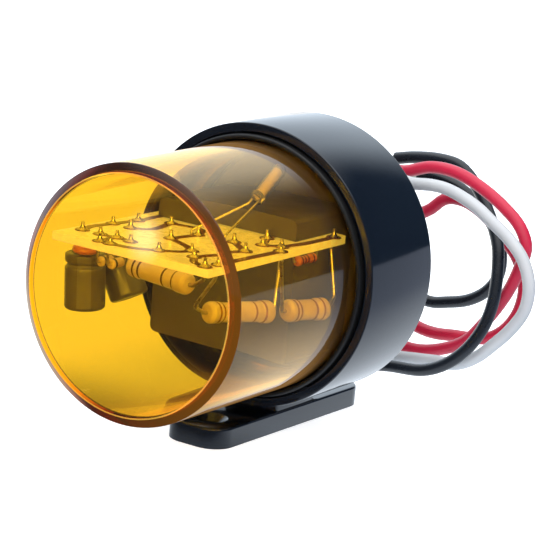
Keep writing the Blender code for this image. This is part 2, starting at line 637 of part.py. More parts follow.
BLACK_ROUTE = (
    (0, 26.6, 31.6), (0, 28.7, 31.6), (0, 34.7, 31.2), (0.5, 40.7, 29.7), (3, 46.7, 26.9),
    (7.5, 50.4, 24.2), (13.2, 52, 21.7), (18.1, 52.4, 22.5), (22.6, 52.4, 23.9), (26.5, 52.4, 26.5),
    (29, 52.4, 30.1), (29.4, 52.4, 34.5), (27.8, 52.4, 39), (24.2, 52.2, 43.5), (18.6, 52.2, 47.1),
    (13.1, 51.7, 48.7), (6.9, 51.2, 48.7), (1.8, 50.7, 47.6), (-5, 49.7, 47.2), (-12, 48.7, 42.7),
    (-17.5, 47.2, 35.2), (-19.5, 44.7, 27.2), (-17.5, 41.2, 19.2), (-11, 36.7, 13.2),
    (-2, 33.2, 9.7), (9, 31.4, 10.6), (17.8, 30.5, 12.2), (26.4, 29.7, 13.4), (31.2, 30, 15.7),
    (35.3, 30.7, 19.6), (37.8, 32.2, 24.5), (38.5, 33.7, 29.1), (38.1, 35.2, 33.2),
    (37.2, 36.7, 36.8), (35.9, 38.2, 40.3), (33.2, 40.2, 43.9), (29.6, 42.2, 47.7),
    (25.8, 43.5, 51.3), (21.8, 44, 53.9), (16.9, 44, 54.4), (10.7, 43.9, 53.7), (6.5, 43.7, 52.7))


def least_gap_to_itself(path, diameter, apart=5):
    """Smallest space between two stretches of one wire that are at least some points apart."""
    gaps = []
    for i, point in enumerate(path):
        for a, b in zip(path[i + apart:], path[i + apart + 1:]):
            along = max(0.0, min(1.0, (point - a).dot(b - a) / (b - a).length_squared))
            gaps.append((point - a.lerp(b, along)).length - diameter)
    return min(gaps)


def make_wire(name, exit_place, route, finish, core_finish, collection):
    """One insulated lead from inside the grommet to its stripped end."""
    start = place(exit_place[0] * MM, WIRE_START, exit_place[1] * MM)
    points = [start] + [Vector(point) * MM for point in route]
    path, length = smooth_route(points, WIRE_STEP)
    tube(name, path, WIRE_DIAMETER, finish, collection, WIRE_BEVEL_RESOLUTION)
    along = (path[-1] - path[-2]).normalized()
    core_start = path[-1] + along * GAP
    rod(name + "_core", core_start, core_start + along * CORE_LENGTH, CORE_DIAMETER / 2, core_finish,
        collection, 12)
    gap = least_gap_to_itself(path, WIRE_DIAMETER)
    print("%s: %.1f mm long, least gap to itself %.2f mm" % (name, length / MM, gap / MM))


def make_board_leads(finish, collection):
    """Three insulated tails from the board's rear end to the grommet, inside the holder."""
    paths = []
    front = BOARD_REAR - 1.6 * MM
    top = BOARD_HEIGHT - GAP - WIRE_DIAMETER / 2
    for x, z in WIRE_EXITS:
        end = place(x * MM, WIRE_START - GAP, z * MM)
        begin = Vector((x * MM, FRONT + front, AXIS_HEIGHT + top - 0.2 * MM))
        third = (end.y - begin.y) / 3
        paths.append([begin, begin.lerp(end, 0.08) + Vector((0, third * 0.5, 0)),
                      begin.lerp(end, 0.75), end - Vector((0, third * 0.4, 0)), end])
    tubes("board_lead", paths, WIRE_DIAMETER, finish, collection)


def main():
    clear_scene()
    parts = new_collection("barricade_warning_light")
    cutters = new_collection("cutters")

    amber = material("amber_polycarbonate", 255, 176, 0, 0.04, alpha=0.45)
    black = material("black_moulded_plastic", 22, 24, 28, 0.25)
    rubber = material("black_rubber", 14, 14, 14, 0.6)
    holder_black = material("black_holder_plastic", 34, 30, 26, 0.5)
    laminate = material("board_laminate", 214, 170, 70, 0.4)
    tinned = material("tinned_wire", 200, 195, 180, 0.3, metallic=1.0)
    tan = material("resistor_coating", 214, 160, 96, 0.35)
    sleeve = material("capacitor_sleeve", 40, 36, 34, 0.4)
    ceramic = material("disc_ceramic", 190, 90, 30, 0.4)
    diode_glass = material("diode_glass", 200, 140, 70, 0.1)
    lamp_glass = material("lamp_glass", 225, 215, 170, 0.08, alpha=0.6)
    white = material("white_insulation", 225, 226, 228, 0.4)
    red = material("red_insulation", 205, 40, 60, 0.4)
    black_pvc = material("black_insulation", 24, 25, 30, 0.4)

    make_lens(amber, parts)
    make_gasket(rubber, parts)
    make_housing(black, parts, cutters)
    make_grommet(rubber, parts, cutters)
    make_holder(holder_black, parts, cutters)
    board = make_board(laminate, parts)
    add_solder_joints(board, cutters)
    make_power_resistors(tan, tinned, parts)
    make_capacitors(sleeve, ceramic, tinned, parts)
    make_diodes(diode_glass, tinned, parts)
    make_small_resistor(ceramic, tinned, parts)
    make_lamp(lamp_glass, tinned, parts)
    make_board_leads(black_pvc, parts)
    routes = (("lead_white", WIRE_EXITS[0], WHITE_ROUTE, white), ("lead_red", WIRE_EXITS[1], RED_ROUTE, red),
              ("lead_black", WIRE_EXITS[2], BLACK_ROUTE, black_pvc))
    for name, exit_place, route, finish in routes:
        make_wire(name, exit_place, route, finish, tinned, parts)


main()
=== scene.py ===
# %% [markdown]
# # A barricade warning light
# The solid model already fixes every size and place of this light. This lesson dresses it: smooth
# glossy mouldings, a clear amber lens that really refracts, the circuit board behind it, and the
# three loose leads. We start by loading the solids as a fixed frame.

# %% Load the frame
import math

import bmesh
import bpy
from mathutils import Matrix, Quaternion, Vector


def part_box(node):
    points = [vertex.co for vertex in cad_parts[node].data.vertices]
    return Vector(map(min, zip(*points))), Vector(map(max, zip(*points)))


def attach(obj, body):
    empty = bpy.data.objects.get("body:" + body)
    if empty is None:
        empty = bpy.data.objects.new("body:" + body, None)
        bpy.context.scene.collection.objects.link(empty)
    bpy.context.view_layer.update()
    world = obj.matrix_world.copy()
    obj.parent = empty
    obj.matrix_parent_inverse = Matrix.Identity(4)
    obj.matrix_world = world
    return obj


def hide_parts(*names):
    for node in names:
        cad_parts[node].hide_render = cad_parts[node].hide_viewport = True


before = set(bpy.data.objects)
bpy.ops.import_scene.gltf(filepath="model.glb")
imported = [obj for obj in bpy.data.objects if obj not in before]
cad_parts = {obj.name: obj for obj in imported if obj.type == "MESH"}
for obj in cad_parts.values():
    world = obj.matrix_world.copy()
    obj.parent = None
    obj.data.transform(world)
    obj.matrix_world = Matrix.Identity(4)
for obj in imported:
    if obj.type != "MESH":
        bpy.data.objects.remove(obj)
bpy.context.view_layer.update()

MM = 0.001
# The clearance that the solid model leaves between pieces that fit into each other.
GAP = 0.3 * MM
BODY = "light_body"

lens_low, lens_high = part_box("lens")
housing_low, housing_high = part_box("housing")
FRONT = lens_low.y
AXIS_HEIGHT = (lens_low.z + lens_high.z) / 2
LENS_RADIUS = (lens_high.x - lens_low.x) / 2
LENS_LENGTH = lens_high.y - lens_low.y
HOUSING_RADIUS = (housing_high.x - housing_low.x) / 2
print("lens %.1f mm across, %.1f mm long" % (2 * LENS_RADIUS / MM, LENS_LENGTH / MM))

# %% [markdown]
# ## Camera
# The photograph was taken with a long lens from the front right and a little above, and the light
# stands slightly turned about its own axis, which shows as a small roll. Sensor and focal length
# are in millimetres, angles in degrees.

# %% Camera
CAMERA_PLACE = Vector((0.29286, -0.44290, 0.16120))
CAMERA_AZIMUTH = 32.70
CAMERA_ELEVATION = 13.66
CAMERA_ROLL = 5.375
CAMERA_LENS = 175.245
SENSOR_WIDTH = 36


def make_camera():
    data = bpy.data.cameras.new("camera")
    data.lens = CAMERA_LENS
    data.sensor_width = SENSOR_WIDTH
    data.clip_start = 0.01
    data.clip_end = 100
    camera = bpy.data.objects.new("camera", data)
    bpy.context.scene.collection.objects.link(camera)
    bpy.context.scene.camera = camera
    azimuth, elevation = math.radians(CAMERA_AZIMUTH), math.radians(CAMERA_ELEVATION)
    back = Vector((math.sin(azimuth) * math.cos(elevation), -math.cos(azimuth) * math.cos(elevation),
                   math.sin(elevation)))
    camera.location = CAMERA_PLACE
    camera.rotation_mode = "QUATERNION"
    upright = (-back).to_track_quat("-Z", "Y")
    camera.rotation_quaternion = Quaternion(back, math.radians(CAMERA_ROLL)) @ upright
    print("camera: %.0f mm lens, %.0f mm from the origin" % (CAMERA_LENS, CAMERA_PLACE.length / MM))


make_camera()

# %% [markdown]
# ## Node helpers
# Materials are built from nodes in code. One small function adds a node, sets its options and
# inputs, and links other sockets to it, so that each material reads as a short recipe. Colours are
# written as sRGB hex values and turned to linear light by one function.

# %% Node helpers
def linear(hex_colour):
    """An sRGB colour such as #A0B0C0 as linear light."""
    values = [int(hex_colour[i:i + 2], 16) / 255 for i in (1, 3, 5)]
    turned = [v / 12.92 if v <= 0.04045 else ((v + 0.055) / 1.055) ** 2.4 for v in values]
    return (*turned, 1.0)


def add_node(tree, kind, options=None, inputs=None):
    """Add a node. A value in inputs that is a socket is linked, and any other is set."""
    node = tree.nodes.new(kind)
    for key, value in (options or {}).items():
        setattr(node, key, value)
    for key, value in (inputs or {}).items():
        if isinstance(value, bpy.types.NodeSocket):
            tree.links.new(value, node.inputs[key])
        else:
            node.inputs[key].default_value = value
    return node


def new_material(name, **inputs):
    """A Principled material with its sockets set by name, underscores for spaces."""
    material = bpy.data.materials.new(name)
    material.use_nodes = True
    shader = material.node_tree.nodes["Principled BSDF"]
    for key, value in inputs.items():
        shader.inputs[key.replace("_", " ")].default_value = value
    return material, material.node_tree, shader


def object_coordinates(tree, scale=(1, 1, 1)):
    """Object coordinates, scaled so that the patterns below can be given in real sizes."""
    coordinates = add_node(tree, "ShaderNodeTexCoord")
    mapping = add_node(tree, "ShaderNodeMapping", inputs={"Vector": coordinates.outputs["Object"],
                                                          "Scale": scale})
    return mapping.outputs["Vector"]


# %% [markdown]
# ## Surface helpers
# No real surface is quite even. Three small recipes take care of that: a bump for what a mould, a
# die or a drawing plate leaves, a roughness that wanders, and a colour that drifts between two
# close tones. Each takes the real size of its pattern in metres.

# %% Surface helpers
def grain_of(size):
    """Noise scale whose blobs are about that many metres across."""
    return 1 / size


def add_grain(tree, shader, size, height, detail=3.0):
    """A fine uneven surface, as a moulding or a drawn wire has."""
    noise = add_node(tree, "ShaderNodeTexNoise",
                     inputs={"Vector": object_coordinates(tree), "Scale": grain_of(size), "Detail": detail})
    bump = add_node(tree, "ShaderNodeBump",
                    inputs={"Height": noise.outputs["Fac"], "Distance": height, "Strength": 0.6})
    tree.links.new(bump.outputs["Normal"], shader.inputs["Normal"])


def add_uneven_gloss(tree, shader, size, low, high):
    """Roughness that wanders between two values."""
    noise = add_node(tree, "ShaderNodeTexNoise",
                     inputs={"Vector": object_coordinates(tree), "Scale": grain_of(size), "Detail": 4.0})
    spread = add_node(tree, "ShaderNodeMapRange",
                      inputs={"Value": noise.outputs["Fac"], "From Min": 0.3, "From Max": 0.7,
                              "To Min": low, "To Max": high})
    tree.links.new(spread.outputs["Result"], shader.inputs["Roughness"])


def add_two_tones(tree, shader, size, first, second):
    """Base colour that drifts between two close tones."""
    noise = add_node(tree, "ShaderNodeTexNoise",
                     inputs={"Vector": object_coordinates(tree), "Scale": grain_of(size), "Detail": 5.0})
    mix = add_node(tree, "ShaderNodeMix", {"data_type": "RGBA"},
                   {"Factor": noise.outputs["Fac"], "A": linear(first), "B": linear(second)})
    tree.links.new(mix.outputs["Result"], shader.inputs["Base Color"])


# %% [markdown]
# ## Blending helpers
# Where a glow or a light changes across a surface, it needs a soft edge: a value that eases from 0
# to 1, and a mix of two colours by that value.

# %% Blending helpers
def smooth_step(tree, value, low, high):
    """0 below low, 1 above high, eased between them."""
    made = add_node(tree, "ShaderNodeMapRange", {"interpolation_type": "SMOOTHSTEP"},
                    {"Value": value, "From Min": low, "From Max": high})
    return made.outputs["Result"]


def towards(tree, direction, low, high):
    """0 to 1 across an object, eased along a direction between two distances."""
    along = add_node(tree, "ShaderNodeVectorMath", {"operation": "DOT_PRODUCT"},
                     {0: object_coordinates(tree), 1: direction})
    return smooth_step(tree, along.outputs["Value"], low, high)


def mix_colours(tree, factor, first, second):
    """The first colour where the factor is 0, the second where it is 1."""
    made = add_node(tree, "ShaderNodeMix", {"data_type": "RGBA"},
                    {"Factor": factor, "A": first, "B": second})
    return made.outputs["Result"]


# %% [markdown]
# ## Mesh helpers
# Most of this light is turned: a profile in (radius, depth) is spun about an axis. bmesh's spin
# does that, then doubles are merged at the seam and the poles, and normals are recalculated, so
# that every face points outwards. Edges sharper than 32 degrees are kept crisp.

# %% Pieces in the scene
CRISP = math.radians(32)
WELD = 0.000002


def new_object(name, data):
    made = bpy.data.objects.new(name, data)
    bpy.context.scene.collection.objects.link(made)
    return made


def mesh_object(name, shape):
    """Turn a bmesh into an object."""
    mesh = bpy.data.meshes.new(name)
    shape.to_mesh(mesh)
    shape.free()
    return new_object(name, mesh)


def finish_piece(made, finish, body=BODY, replaced=(), slot=None):
    """Give a piece its finish, the body that it rides on and the solids that it stands for."""
    for material in finish if isinstance(finish, (list, tuple)) else [finish]:
        made.data.materials.append(material)
    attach(made, body)
    if replaced:
        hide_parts(*replaced)
    return made


def link_mesh(name, shape, finish, **more):
    """Turn a bmesh into a smooth piece with crisp corners."""
    bmesh.ops.remove_doubles(shape, verts=shape.verts, dist=WELD)
    for face in shape.faces:
        face.smooth = True
    for edge in shape.edges:
        if len(edge.link_faces) == 2 and edge.calc_face_angle(0) > CRISP:
            edge.smooth = False
    made = finish_piece(mesh_object(name, shape), finish, **more)
    print("%s: %d faces" % (name, len(made.data.polygons)))
    return made


# %% Turned shapes
def axis_turn(origin, direction):
    """A matrix that takes a profile's local +Z against the direction, so depth runs along it."""
    turn = (-Vector(direction)).to_track_quat("Z", "X").to_matrix().to_4x4()
    return Matrix.Translation(Vector(origin)) @ turn


def spin_into(shape, profile, matrix, steps, closed=False):
    """Spin a (radius, depth) profile in a bmesh, and put it in place."""
    points = [shape.verts.new((radius, 0, -depth)) for radius, depth in profile]
    pairs = list(zip(points, points[1:]))
    if closed:
        pairs.append((points[-1], points[0]))
    edges = [shape.edges.new(pair) for pair in pairs]
    turned = bmesh.ops.spin(shape, geom=points + edges, axis=(0, 0, 1), cent=(0, 0, 0),
                            angle=2 * math.pi, steps=steps, use_merge=True)
    faces = {f for v in turned["geom_last"] if isinstance(v, bmesh.types.BMVert) for f in v.link_faces}
    todo = list(faces)
    while todo:
        for edge in todo.pop().edges:
            for face in edge.link_faces:
                if face not in faces:
                    faces.add(face)
                    todo.append(face)
    verts = list({v for f in faces for v in f.verts})
    bmesh.ops.remove_doubles(shape, verts=verts, dist=WELD)
    verts = [v for v in verts if v.is_valid]
    faces = [f for f in {f for v in verts for f in v.link_faces} if f.is_valid]
    bmesh.ops.recalc_face_normals(shape, faces=faces)
    bmesh.ops.transform(shape, matrix=matrix, verts=verts)
    return verts


def spun(name, profile, finish, origin=None, direction=(0, 1, 0), steps=192, closed=False, **more):
    """A turned piece, about the lens's own axis unless another is given."""
    shape = bmesh.new()
    origin = place(0, 0, 0) if origin is None else origin
    spin_into(shape, profile, axis_turn(origin, direction), steps, closed=closed)
    return link_mesh(name, shape, finish, **more)


def arc(center_radius, center_depth, size, start, end, count):
    """Profile points on a round corner, angles in degrees from the outward radius."""
    angles = [math.radians(start + (end - start) * i / count) for i in range(count + 1)]
    return [(center_radius + size * math.cos(a), center_depth + size * math.sin(a)) for a in angles]


def place(x, depth, height):
    """A point from its offset to the right, its depth behind the window, its height over the axis."""
    return Vector((x, FRONT + depth, AXIS_HEIGHT + height))


# %% [markdown]
# ## Wire insulation and the loose leads
# The leads are PVC-insulated hook-up wire, 2.6 mm outside, which keeps the loose loops it was bent
# into. PVC is smooth but soft, so it shows a broad highlight and faint waviness. The routes repeat
# the chosen points of the solid model, read through one smooth curve.

# %% Finishes of the leads
def pvc(name, colour, darker, roughness=0.38):
    """Soft extruded plastic: an even colour, a broad highlight and faint waves."""
    material, tree, shader = new_material(name, IOR=1.53)
    shader.inputs["Coat Weight"].default_value = 0.12
    shader.inputs["Coat Roughness"].default_value = 0.2
    add_two_tones(tree, shader, 6 * MM, colour, darker)
    add_uneven_gloss(tree, shader, 4 * MM, roughness - 0.05, roughness + 0.08)
    add_grain(tree, shader, 1.4 * MM, 0.03 * MM)
    return material


WHITE_PVC = pvc("white_pvc_insulation", "#D6D8DA", "#C9CCCF")
RED_PVC = pvc("red_pvc_insulation", "#DD2A4C", "#C81C40")
BLACK_PVC = pvc("black_pvc_insulation", "#1E242D", "#151A21", 0.28)


def tinned_copper(name, colour, roughness):
    """Copper dipped in tin: a pale metal, a little uneven."""
    material, tree, shader = new_material(name, Metallic=1.0)
    add_two_tones(tree, shader, 1.5 * MM, colour, "#B9AE93")
    add_uneven_gloss(tree, shader, 1 * MM, roughness, roughness + 0.2)
    return material


TINNED = tinned_copper("tinned_copper_strand", "#D9D2BF", 0.22)

# %% Routes of the leads
WIRE_DIAMETER = 2.6 * MM
# The depth of the grommet's inner lip, where the leads enter it.
WIRE_START = 59.7 * MM
WIRE_STEP = 1.2 * MM
# Places of the three holes in the grommet, in mm across and above the axis.
WIRE_EXITS = {"white": (-3.0, 1.0), "red": (3.0, 1.0), "black": (0.0, -2.6)}
# Points in mm: x, y from the origin, z above the ground.
WHITE_ROUTE = (
    (-3, 26.6, 35.2), (-3, 28.7, 35.2), (-4.8, 33.7, 34.2), (-9.5, 37.2, 32.7), (-15, 37.7, 35.2),
    (-18, 36.7, 40.2), (-16.5, 35.7, 46.2), (-11, 34.7, 49.7), (-2, 34, 51.5), (8, 33.7, 51.7),
    (16.6, 33.7, 50.5), (21.6, 33.7, 51), (25.6, 33.7, 50.8), (32, 33.7, 48.7), (36.3, 33.7, 46.2),
    (40.6, 33.7, 43.5), (44.3, 33.7, 39.9), (46.3, 33.7, 35.2), (45.8, 34.2, 29.9), (42.9, 34.7, 25),
    (38.7, 35.2, 20.4), (34.9, 35.7, 16.9), (30.3, 36.2, 14.4), (25.3, 36.7, 13.8), (20.5, 36.7, 13.2),
    (8, 36.7, 12.2), (0, 36.7, 14.7), (-7, 37.7, 19.2), (-12, 39.7, 26.2), (-14.5, 42.2, 34.2),
    (-13.5, 44.2, 42.2), (-9.5, 45.7, 48.2), (-3.5, 46.6, 51.2), (2.5, 46.9, 50.2))
RED_ROUTE = (
    (3, 26.6, 35.2), (3, 28.7, 35.2), (3, 34.7, 35.7), (3.8, 40.2, 36.4), (6.8, 44.7, 38.8),
    (13.3, 48, 42.3), (16.3, 49, 45.1), (20.9, 49, 45.6), (26.2, 48.7, 43.7), (31.2, 48.2, 40.2),
    (35.6, 47.7, 36.5), (38.2, 47.2, 31.3), (37.8, 46.7, 25.5), (35.3, 46.2, 21.2), (32, 45.7, 18.8),
    (28, 45.2, 18), (24.4, 44.7, 17.8), (19.8, 44.7, 17.3), (15.6, 44.7, 17.7), (6, 44.7, 21.2),
    (-1, 43.7, 25.7), (-5.5, 42.7, 33.2), (-6, 41.7, 41.2), (-2, 40.7, 47.2), (4, 39.7, 51),
    (11.7, 38.7, 51.5), (18.5, 38.2, 53.7), (25.1, 37.7, 53.7), (31.3, 37.7, 51.6), (36.5, 37.7, 48.8),
    (40.7, 37.7, 45.5), (42.5, 37.9, 41.7), (41.3, 38.5, 37.1), (39.6, 38.9, 32.7), (37.1, 39.3, 28.1),
    (33.7, 39.7, 23.2), (29.8, 39.9, 18.6), (25.2, 40, 16), (20, 40, 14.4), (15.5, 39.7, 14.3),
    (7, 39.5, 16.2), (0.5, 39.5, 19.7))
BLACK_ROUTE = (
    (0, 26.6, 31.6), (0, 28.7, 31.6), (0, 34.7, 31.2), (0.5, 40.7, 29.7), (3, 46.7, 26.9),
    (7.5, 50.4, 24.2), (13.2, 52, 21.7), (18.1, 52.4, 22.5), (22.6, 52.4, 23.9), (26.5, 52.4, 26.5),
    (29, 52.4, 30.1), (29.4, 52.4, 34.5), (27.8, 52.4, 39), (24.2, 52.2, 43.5), (18.6, 52.2, 47.1),
    (13.1, 51.7, 48.7), (6.9, 51.2, 48.7), (1.8, 50.7, 47.6), (-5, 49.7, 47.2), (-12, 48.7, 42.7),
    (-17.5, 47.2, 35.2), (-19.5, 44.7, 27.2), (-17.5, 41.2, 19.2), (-11, 36.7, 13.2), (-2, 33.2, 9.7),
    (9, 31.4, 10.6), (17.8, 30.5, 12.2), (26.4, 29.7, 13.4), (31.2, 30, 15.7), (35.3, 30.7, 19.6),
    (37.8, 32.2, 24.5), (38.5, 33.7, 29.1), (38.1, 35.2, 33.2), (37.2, 36.7, 36.8), (35.9, 38.2, 40.3),
    (33.2, 40.2, 43.9), (29.6, 42.2, 47.7), (25.8, 43.5, 51.3), (21.8, 44, 53.9), (16.9, 44, 54.4),
    (10.7, 43.9, 53.7), (6.5, 43.7, 52.7))


# %% [markdown]
# ## Wires along a curve
# A loose lead bends without a kink, so its route is read through a curve whose speed follows the
# distance between its points, which never overshoots. Even steps along it give a round tube an even
# surface.

# %% Smooth curve through the chosen points
CURVE_STEPS = 24


def smooth_route(points, step):
    """Even steps along a centripetal Catmull-Rom curve through the points."""
    knots = [2 * points[0] - points[1], *points, 2 * points[-1] - points[-2]]
    fine = []
    for a, b, c, d in zip(knots, knots[1:], knots[2:], knots[3:]):
        t1 = (b - a).length ** 0.5
        t2 = t1 + (c - b).length ** 0.5
        t3 = t2 + (d - c).length ** 0.5
        for i in range(CURVE_STEPS):
            t = t1 + (t2 - t1) * i / CURVE_STEPS
            ab = a.lerp(b, t / t1)
            bc = b.lerp(c, (t - t1) / (t2 - t1))
            cd = c.lerp(d, (t - t2) / (t3 - t2))
            abc = ab.lerp(bc, t / t2)
            bcd = bc.lerp(cd, (t - t1) / (t3 - t1))
            fine.append(abc.lerp(bcd, (t - t1) / (t2 - t1)))
    fine.append(points[-1])
    travelled = [0.0]
    for a, b in zip(fine, fine[1:]):
        travelled.append(travelled[-1] + (b - a).length)
    count = round(travelled[-1] / step)
    route = []
    index = 0
    for i in range(count + 1):
        target = travelled[-1] * i / count
        while index < len(fine) - 2 and travelled[index + 1] < target:
            index += 1
        share = (target - travelled[index]) / (travelled[index + 1] - travelled[index])
        route.append(fine[index].lerp(fine[index + 1], min(share, 1.0)))
    return route, travelled[-1]


# %% Round wire along points
TUBE_ROUNDNESS = 4


def tube(name, path, diameter, finish, **more):
    """A round wire along a list of points, as a curve with a bevel."""
    curve = bpy.data.curves.new(name, "CURVE")
    curve.dimensions = "3D"
    curve.bevel_depth = diameter / 2
    curve.bevel_resolution = TUBE_ROUNDNESS
    curve.use_fill_caps = True
    spline = curve.splines.new("POLY")
    spline.points.add(len(path) - 1)
    for point, position in zip(spline.points, path):
        point.co = (*position, 1)
    spline.use_smooth = True
    return finish_piece(new_object(name, curve), finish, **more)


# %% [markdown]
# ## Stripped ends
# Each lead ends stripped, its bare copper strands twisted together. Seven strands that wind
# about the lead's own line once every few millimetres look right at this size, and they fill the
# space that the solid model's round bar holds.

# %% Leads with twisted ends
CORE_DIAMETER = 1.4 * MM
CORE_LENGTH = 7.0 * MM
STRAND_DIAMETER = CORE_DIAMETER / 3
STRANDS_AROUND = 6
TWIST_PITCH = 6.0 * MM
STRAND_POINTS = 29


def twisted_end(name, start, along, replaced):
    """A middle strand with six wound about it, as one mesh."""
    across = along.orthogonal().normalized()
    third = along.cross(across)
    shape = bmesh.new()
    ring_radius = (CORE_DIAMETER - STRAND_DIAMETER) / 2
    for strand in range(STRANDS_AROUND + 1):
        radius = 0.0 if strand == STRANDS_AROUND else ring_radius
        previous = None
        for i in range(STRAND_POINTS):
            share = i / (STRAND_POINTS - 1)
            angle = 2 * math.pi * (strand / STRANDS_AROUND + share * CORE_LENGTH / TWIST_PITCH)
            center = start + along * (share * CORE_LENGTH)
            center += (across * math.cos(angle) + third * math.sin(angle)) * radius
            place_ring = Matrix.Translation(center) @ along.to_track_quat("Z", "X").to_matrix().to_4x4()
            ring = bmesh.ops.create_circle(shape, cap_ends=i in (0, STRAND_POINTS - 1), segments=8,
                                           radius=STRAND_DIAMETER / 2, matrix=place_ring)["verts"]
            edges = list({e for v in ring for e in v.link_edges})
            if previous:
                bmesh.ops.bridge_loops(shape, edges=previous + edges)
            previous = edges
    bmesh.ops.recalc_face_normals(shape, faces=shape.faces)
    return link_mesh(name, shape, TINNED, replaced=replaced, slot="tinned_wire")


def make_lead(colour, route, finish):
    """One loose insulated lead with its stripped end."""
    x, z = WIRE_EXITS[colour]
    start = place(x * MM, WIRE_START, z * MM)
    path, length = smooth_route([start] + [Vector(point) * MM for point in route], WIRE_STEP)
    node = "lead_" + colour
    wire = tube(node + "_insulation", path, WIRE_DIAMETER, finish, replaced=(node,),
                slot=colour + "_insulation")
    # The housing's gloss would mirror the loops as smears that the real light doesn't show.
    wire.visible_glossy = False
    along = (path[-1] - path[-2]).normalized()
    end = twisted_end(node + "_strands", path[-1] + along * GAP / 2, along, (node + "_core",))
    print("lead_%s: %.1f mm" % (colour, length / MM))


make_lead("white", WHITE_ROUTE, WHITE_PVC)
make_lead("red", RED_ROUTE, RED_PVC)
make_lead("black", BLACK_ROUTE, BLACK_PVC)

# %% [markdown]
# ## The amber lens
# The cup is injection-moulded polycarbonate, dyed amber and polished: clear, with a high
# refractive index of 1.585, so its rim bends what lies behind into a dark band and its side
# mirrors the bright table at a glancing angle. It has to be a real shell with both of its
# surfaces, or the light would bend only once.

# %% Dye in the plastic
POLYCARBONATE_IOR = 1.585
POLISHED_TINT = (1.0, 0.85, 0.6, 1)
DYE_COLOUR = (0.994, 0.9425, 0.43, 1)
DYE_DENSITY = 1300
CLARITY = 0.992
NO_GLOW = (0, 0, 0, 1)


def add_dye(tree):
    """Colour that deepens with the way that light travels in the plastic, per metre."""
    dye = add_node(tree, "ShaderNodeVolumeAbsorption", inputs={"Color": DYE_COLOUR,
                                                               "Density": DYE_DENSITY})
    tree.links.new(dye.outputs["Volume"], tree.nodes["Material Output"].inputs["Volume"])


def across_lens(tree, direction, low, high):
    """0 to 1 across the lens along a direction, eased between two shares of its radius."""
    centre = Vector((0, 0, AXIS_HEIGHT)).dot(direction)
    return towards(tree, direction, centre + LENS_RADIUS * low, centre + LENS_RADIUS * high)


# %% [markdown]
# ## Light that the wall gathers
# Clear dyed plastic pipes light along its wall, mirror upon mirror, and lets a little of it out.
# Tracing that takes far more bounces than a render can spend, so a weak glow stands in for it: on
# the outside where the eye meets the wall at a glancing angle, and inside the left wall where the
# light is trapped. It fades before the wall goes into the housing.

# %% Amber polycarbonate
WALL_GLOW = (0.23, 0.115, 0.03, 1)
WALL_GLOW_FADES = (34 * MM, 41 * MM)
LEFT_SIDE = Vector((-0.96, 0, -0.28))
LEFT_WALL_GLOW = (0.3, 0.4, 0.55, 1)
LEFT_WALL_SHARES = (0.5, 0.9)
# Layer Weight's Facing is 0 face on and 1 edge on. Each glow comes in between two of its values.
GLANCING = (0.42, 0.88)
TRAPPED = (0.45, 0.62)


def amber_polycarbonate():
    """Moulded in a polished tool: no haze, and waves too long to see one by one."""
    material, tree, shader = new_material("amber_polycarbonate", IOR=POLYCARBONATE_IOR, Roughness=0.0)
    shader.inputs["Base Color"].default_value = POLISHED_TINT
    shader.inputs["Transmission Weight"].default_value = CLARITY
    shader.inputs["Emission Strength"].default_value = 1.0
    add_grain(tree, shader, 16 * MM, 0.01 * MM, 1.0)
    add_dye(tree)
    facing = add_node(tree, "ShaderNodeLayerWeight", inputs={"Blend": 0.5}).outputs["Facing"]
    in_housing = towards(tree, Vector((0, 1, 0)), *[FRONT + depth for depth in WALL_GLOW_FADES])
    glow = mix_colours(tree, in_housing, WALL_GLOW, NO_GLOW)
    glow = mix_colours(tree, smooth_step(tree, facing, *GLANCING), NO_GLOW, glow)
    on_left = across_lens(tree, LEFT_SIDE, *LEFT_WALL_SHARES)
    inside_glow = mix_colours(tree, on_left, NO_GLOW, LEFT_WALL_GLOW)
    inside_glow = mix_colours(tree, smooth_step(tree, facing, *TRAPPED), NO_GLOW, inside_glow)
    inside = add_node(tree, "ShaderNodeNewGeometry").outputs["Backfacing"]
    glow = mix_colours(tree, inside, glow, inside_glow)
    tree.links.new(glow, shader.inputs["Emission Color"])
    return material


AMBER = amber_polycarbonate()

# %% Amber rim and its inner edge
RIM_ROUGHNESS = 0.03
RIM_RIGHT = Vector((0.98, 0, -0.2))
RIM_LEFT = Vector((-0.83, 0, -0.56))
RIM_RIGHT_SHARES = (-0.3, 1.0)
RIM_LEFT_SHARES = (0.72, 1.0)
# Painted light on the rim: its glow grows from dim to bright towards the right side, and turns pale on the
# left side.
RIM_PAINTED_GLOW_DIM = (0.004, 0.001, 0.0, 1)
RIM_PAINTED_GLOW_RIGHT = (0.14, 0.05, 0.002, 1)
RIM_PAINTED_GLOW_LEFT = (0.42, 0.36, 0.28, 1)


def amber_rim():
    """The chamfered rim, where the eye looks along the dyed wall: its dark brown is painted shade, and its
    glow painted light.
    """
    material, tree, shader = new_material("amber_rim", IOR=POLYCARBONATE_IOR, Roughness=RIM_ROUGHNESS)
    shader.inputs["Transmission Weight"].default_value = 0.7
    shader.inputs["Emission Strength"].default_value = 1.0
    # Painted shade on top of the real dye: the rim's dark brown stands in for the long way through the wall
    # that the eye looks along.
    add_two_tones(tree, shader, 8 * MM, "#5E2A03", "#4E2002")
    add_grain(tree, shader, 16 * MM, 0.01 * MM, 1.0)
    add_dye(tree)
    right = across_lens(tree, RIM_RIGHT, *RIM_RIGHT_SHARES)
    glow = mix_colours(tree, right, RIM_PAINTED_GLOW_DIM, RIM_PAINTED_GLOW_RIGHT)
    left = across_lens(tree, RIM_LEFT, *RIM_LEFT_SHARES)
    glow = mix_colours(tree, left, glow, RIM_PAINTED_GLOW_LEFT)
    tree.links.new(glow, shader.inputs["Emission Color"])
    return material


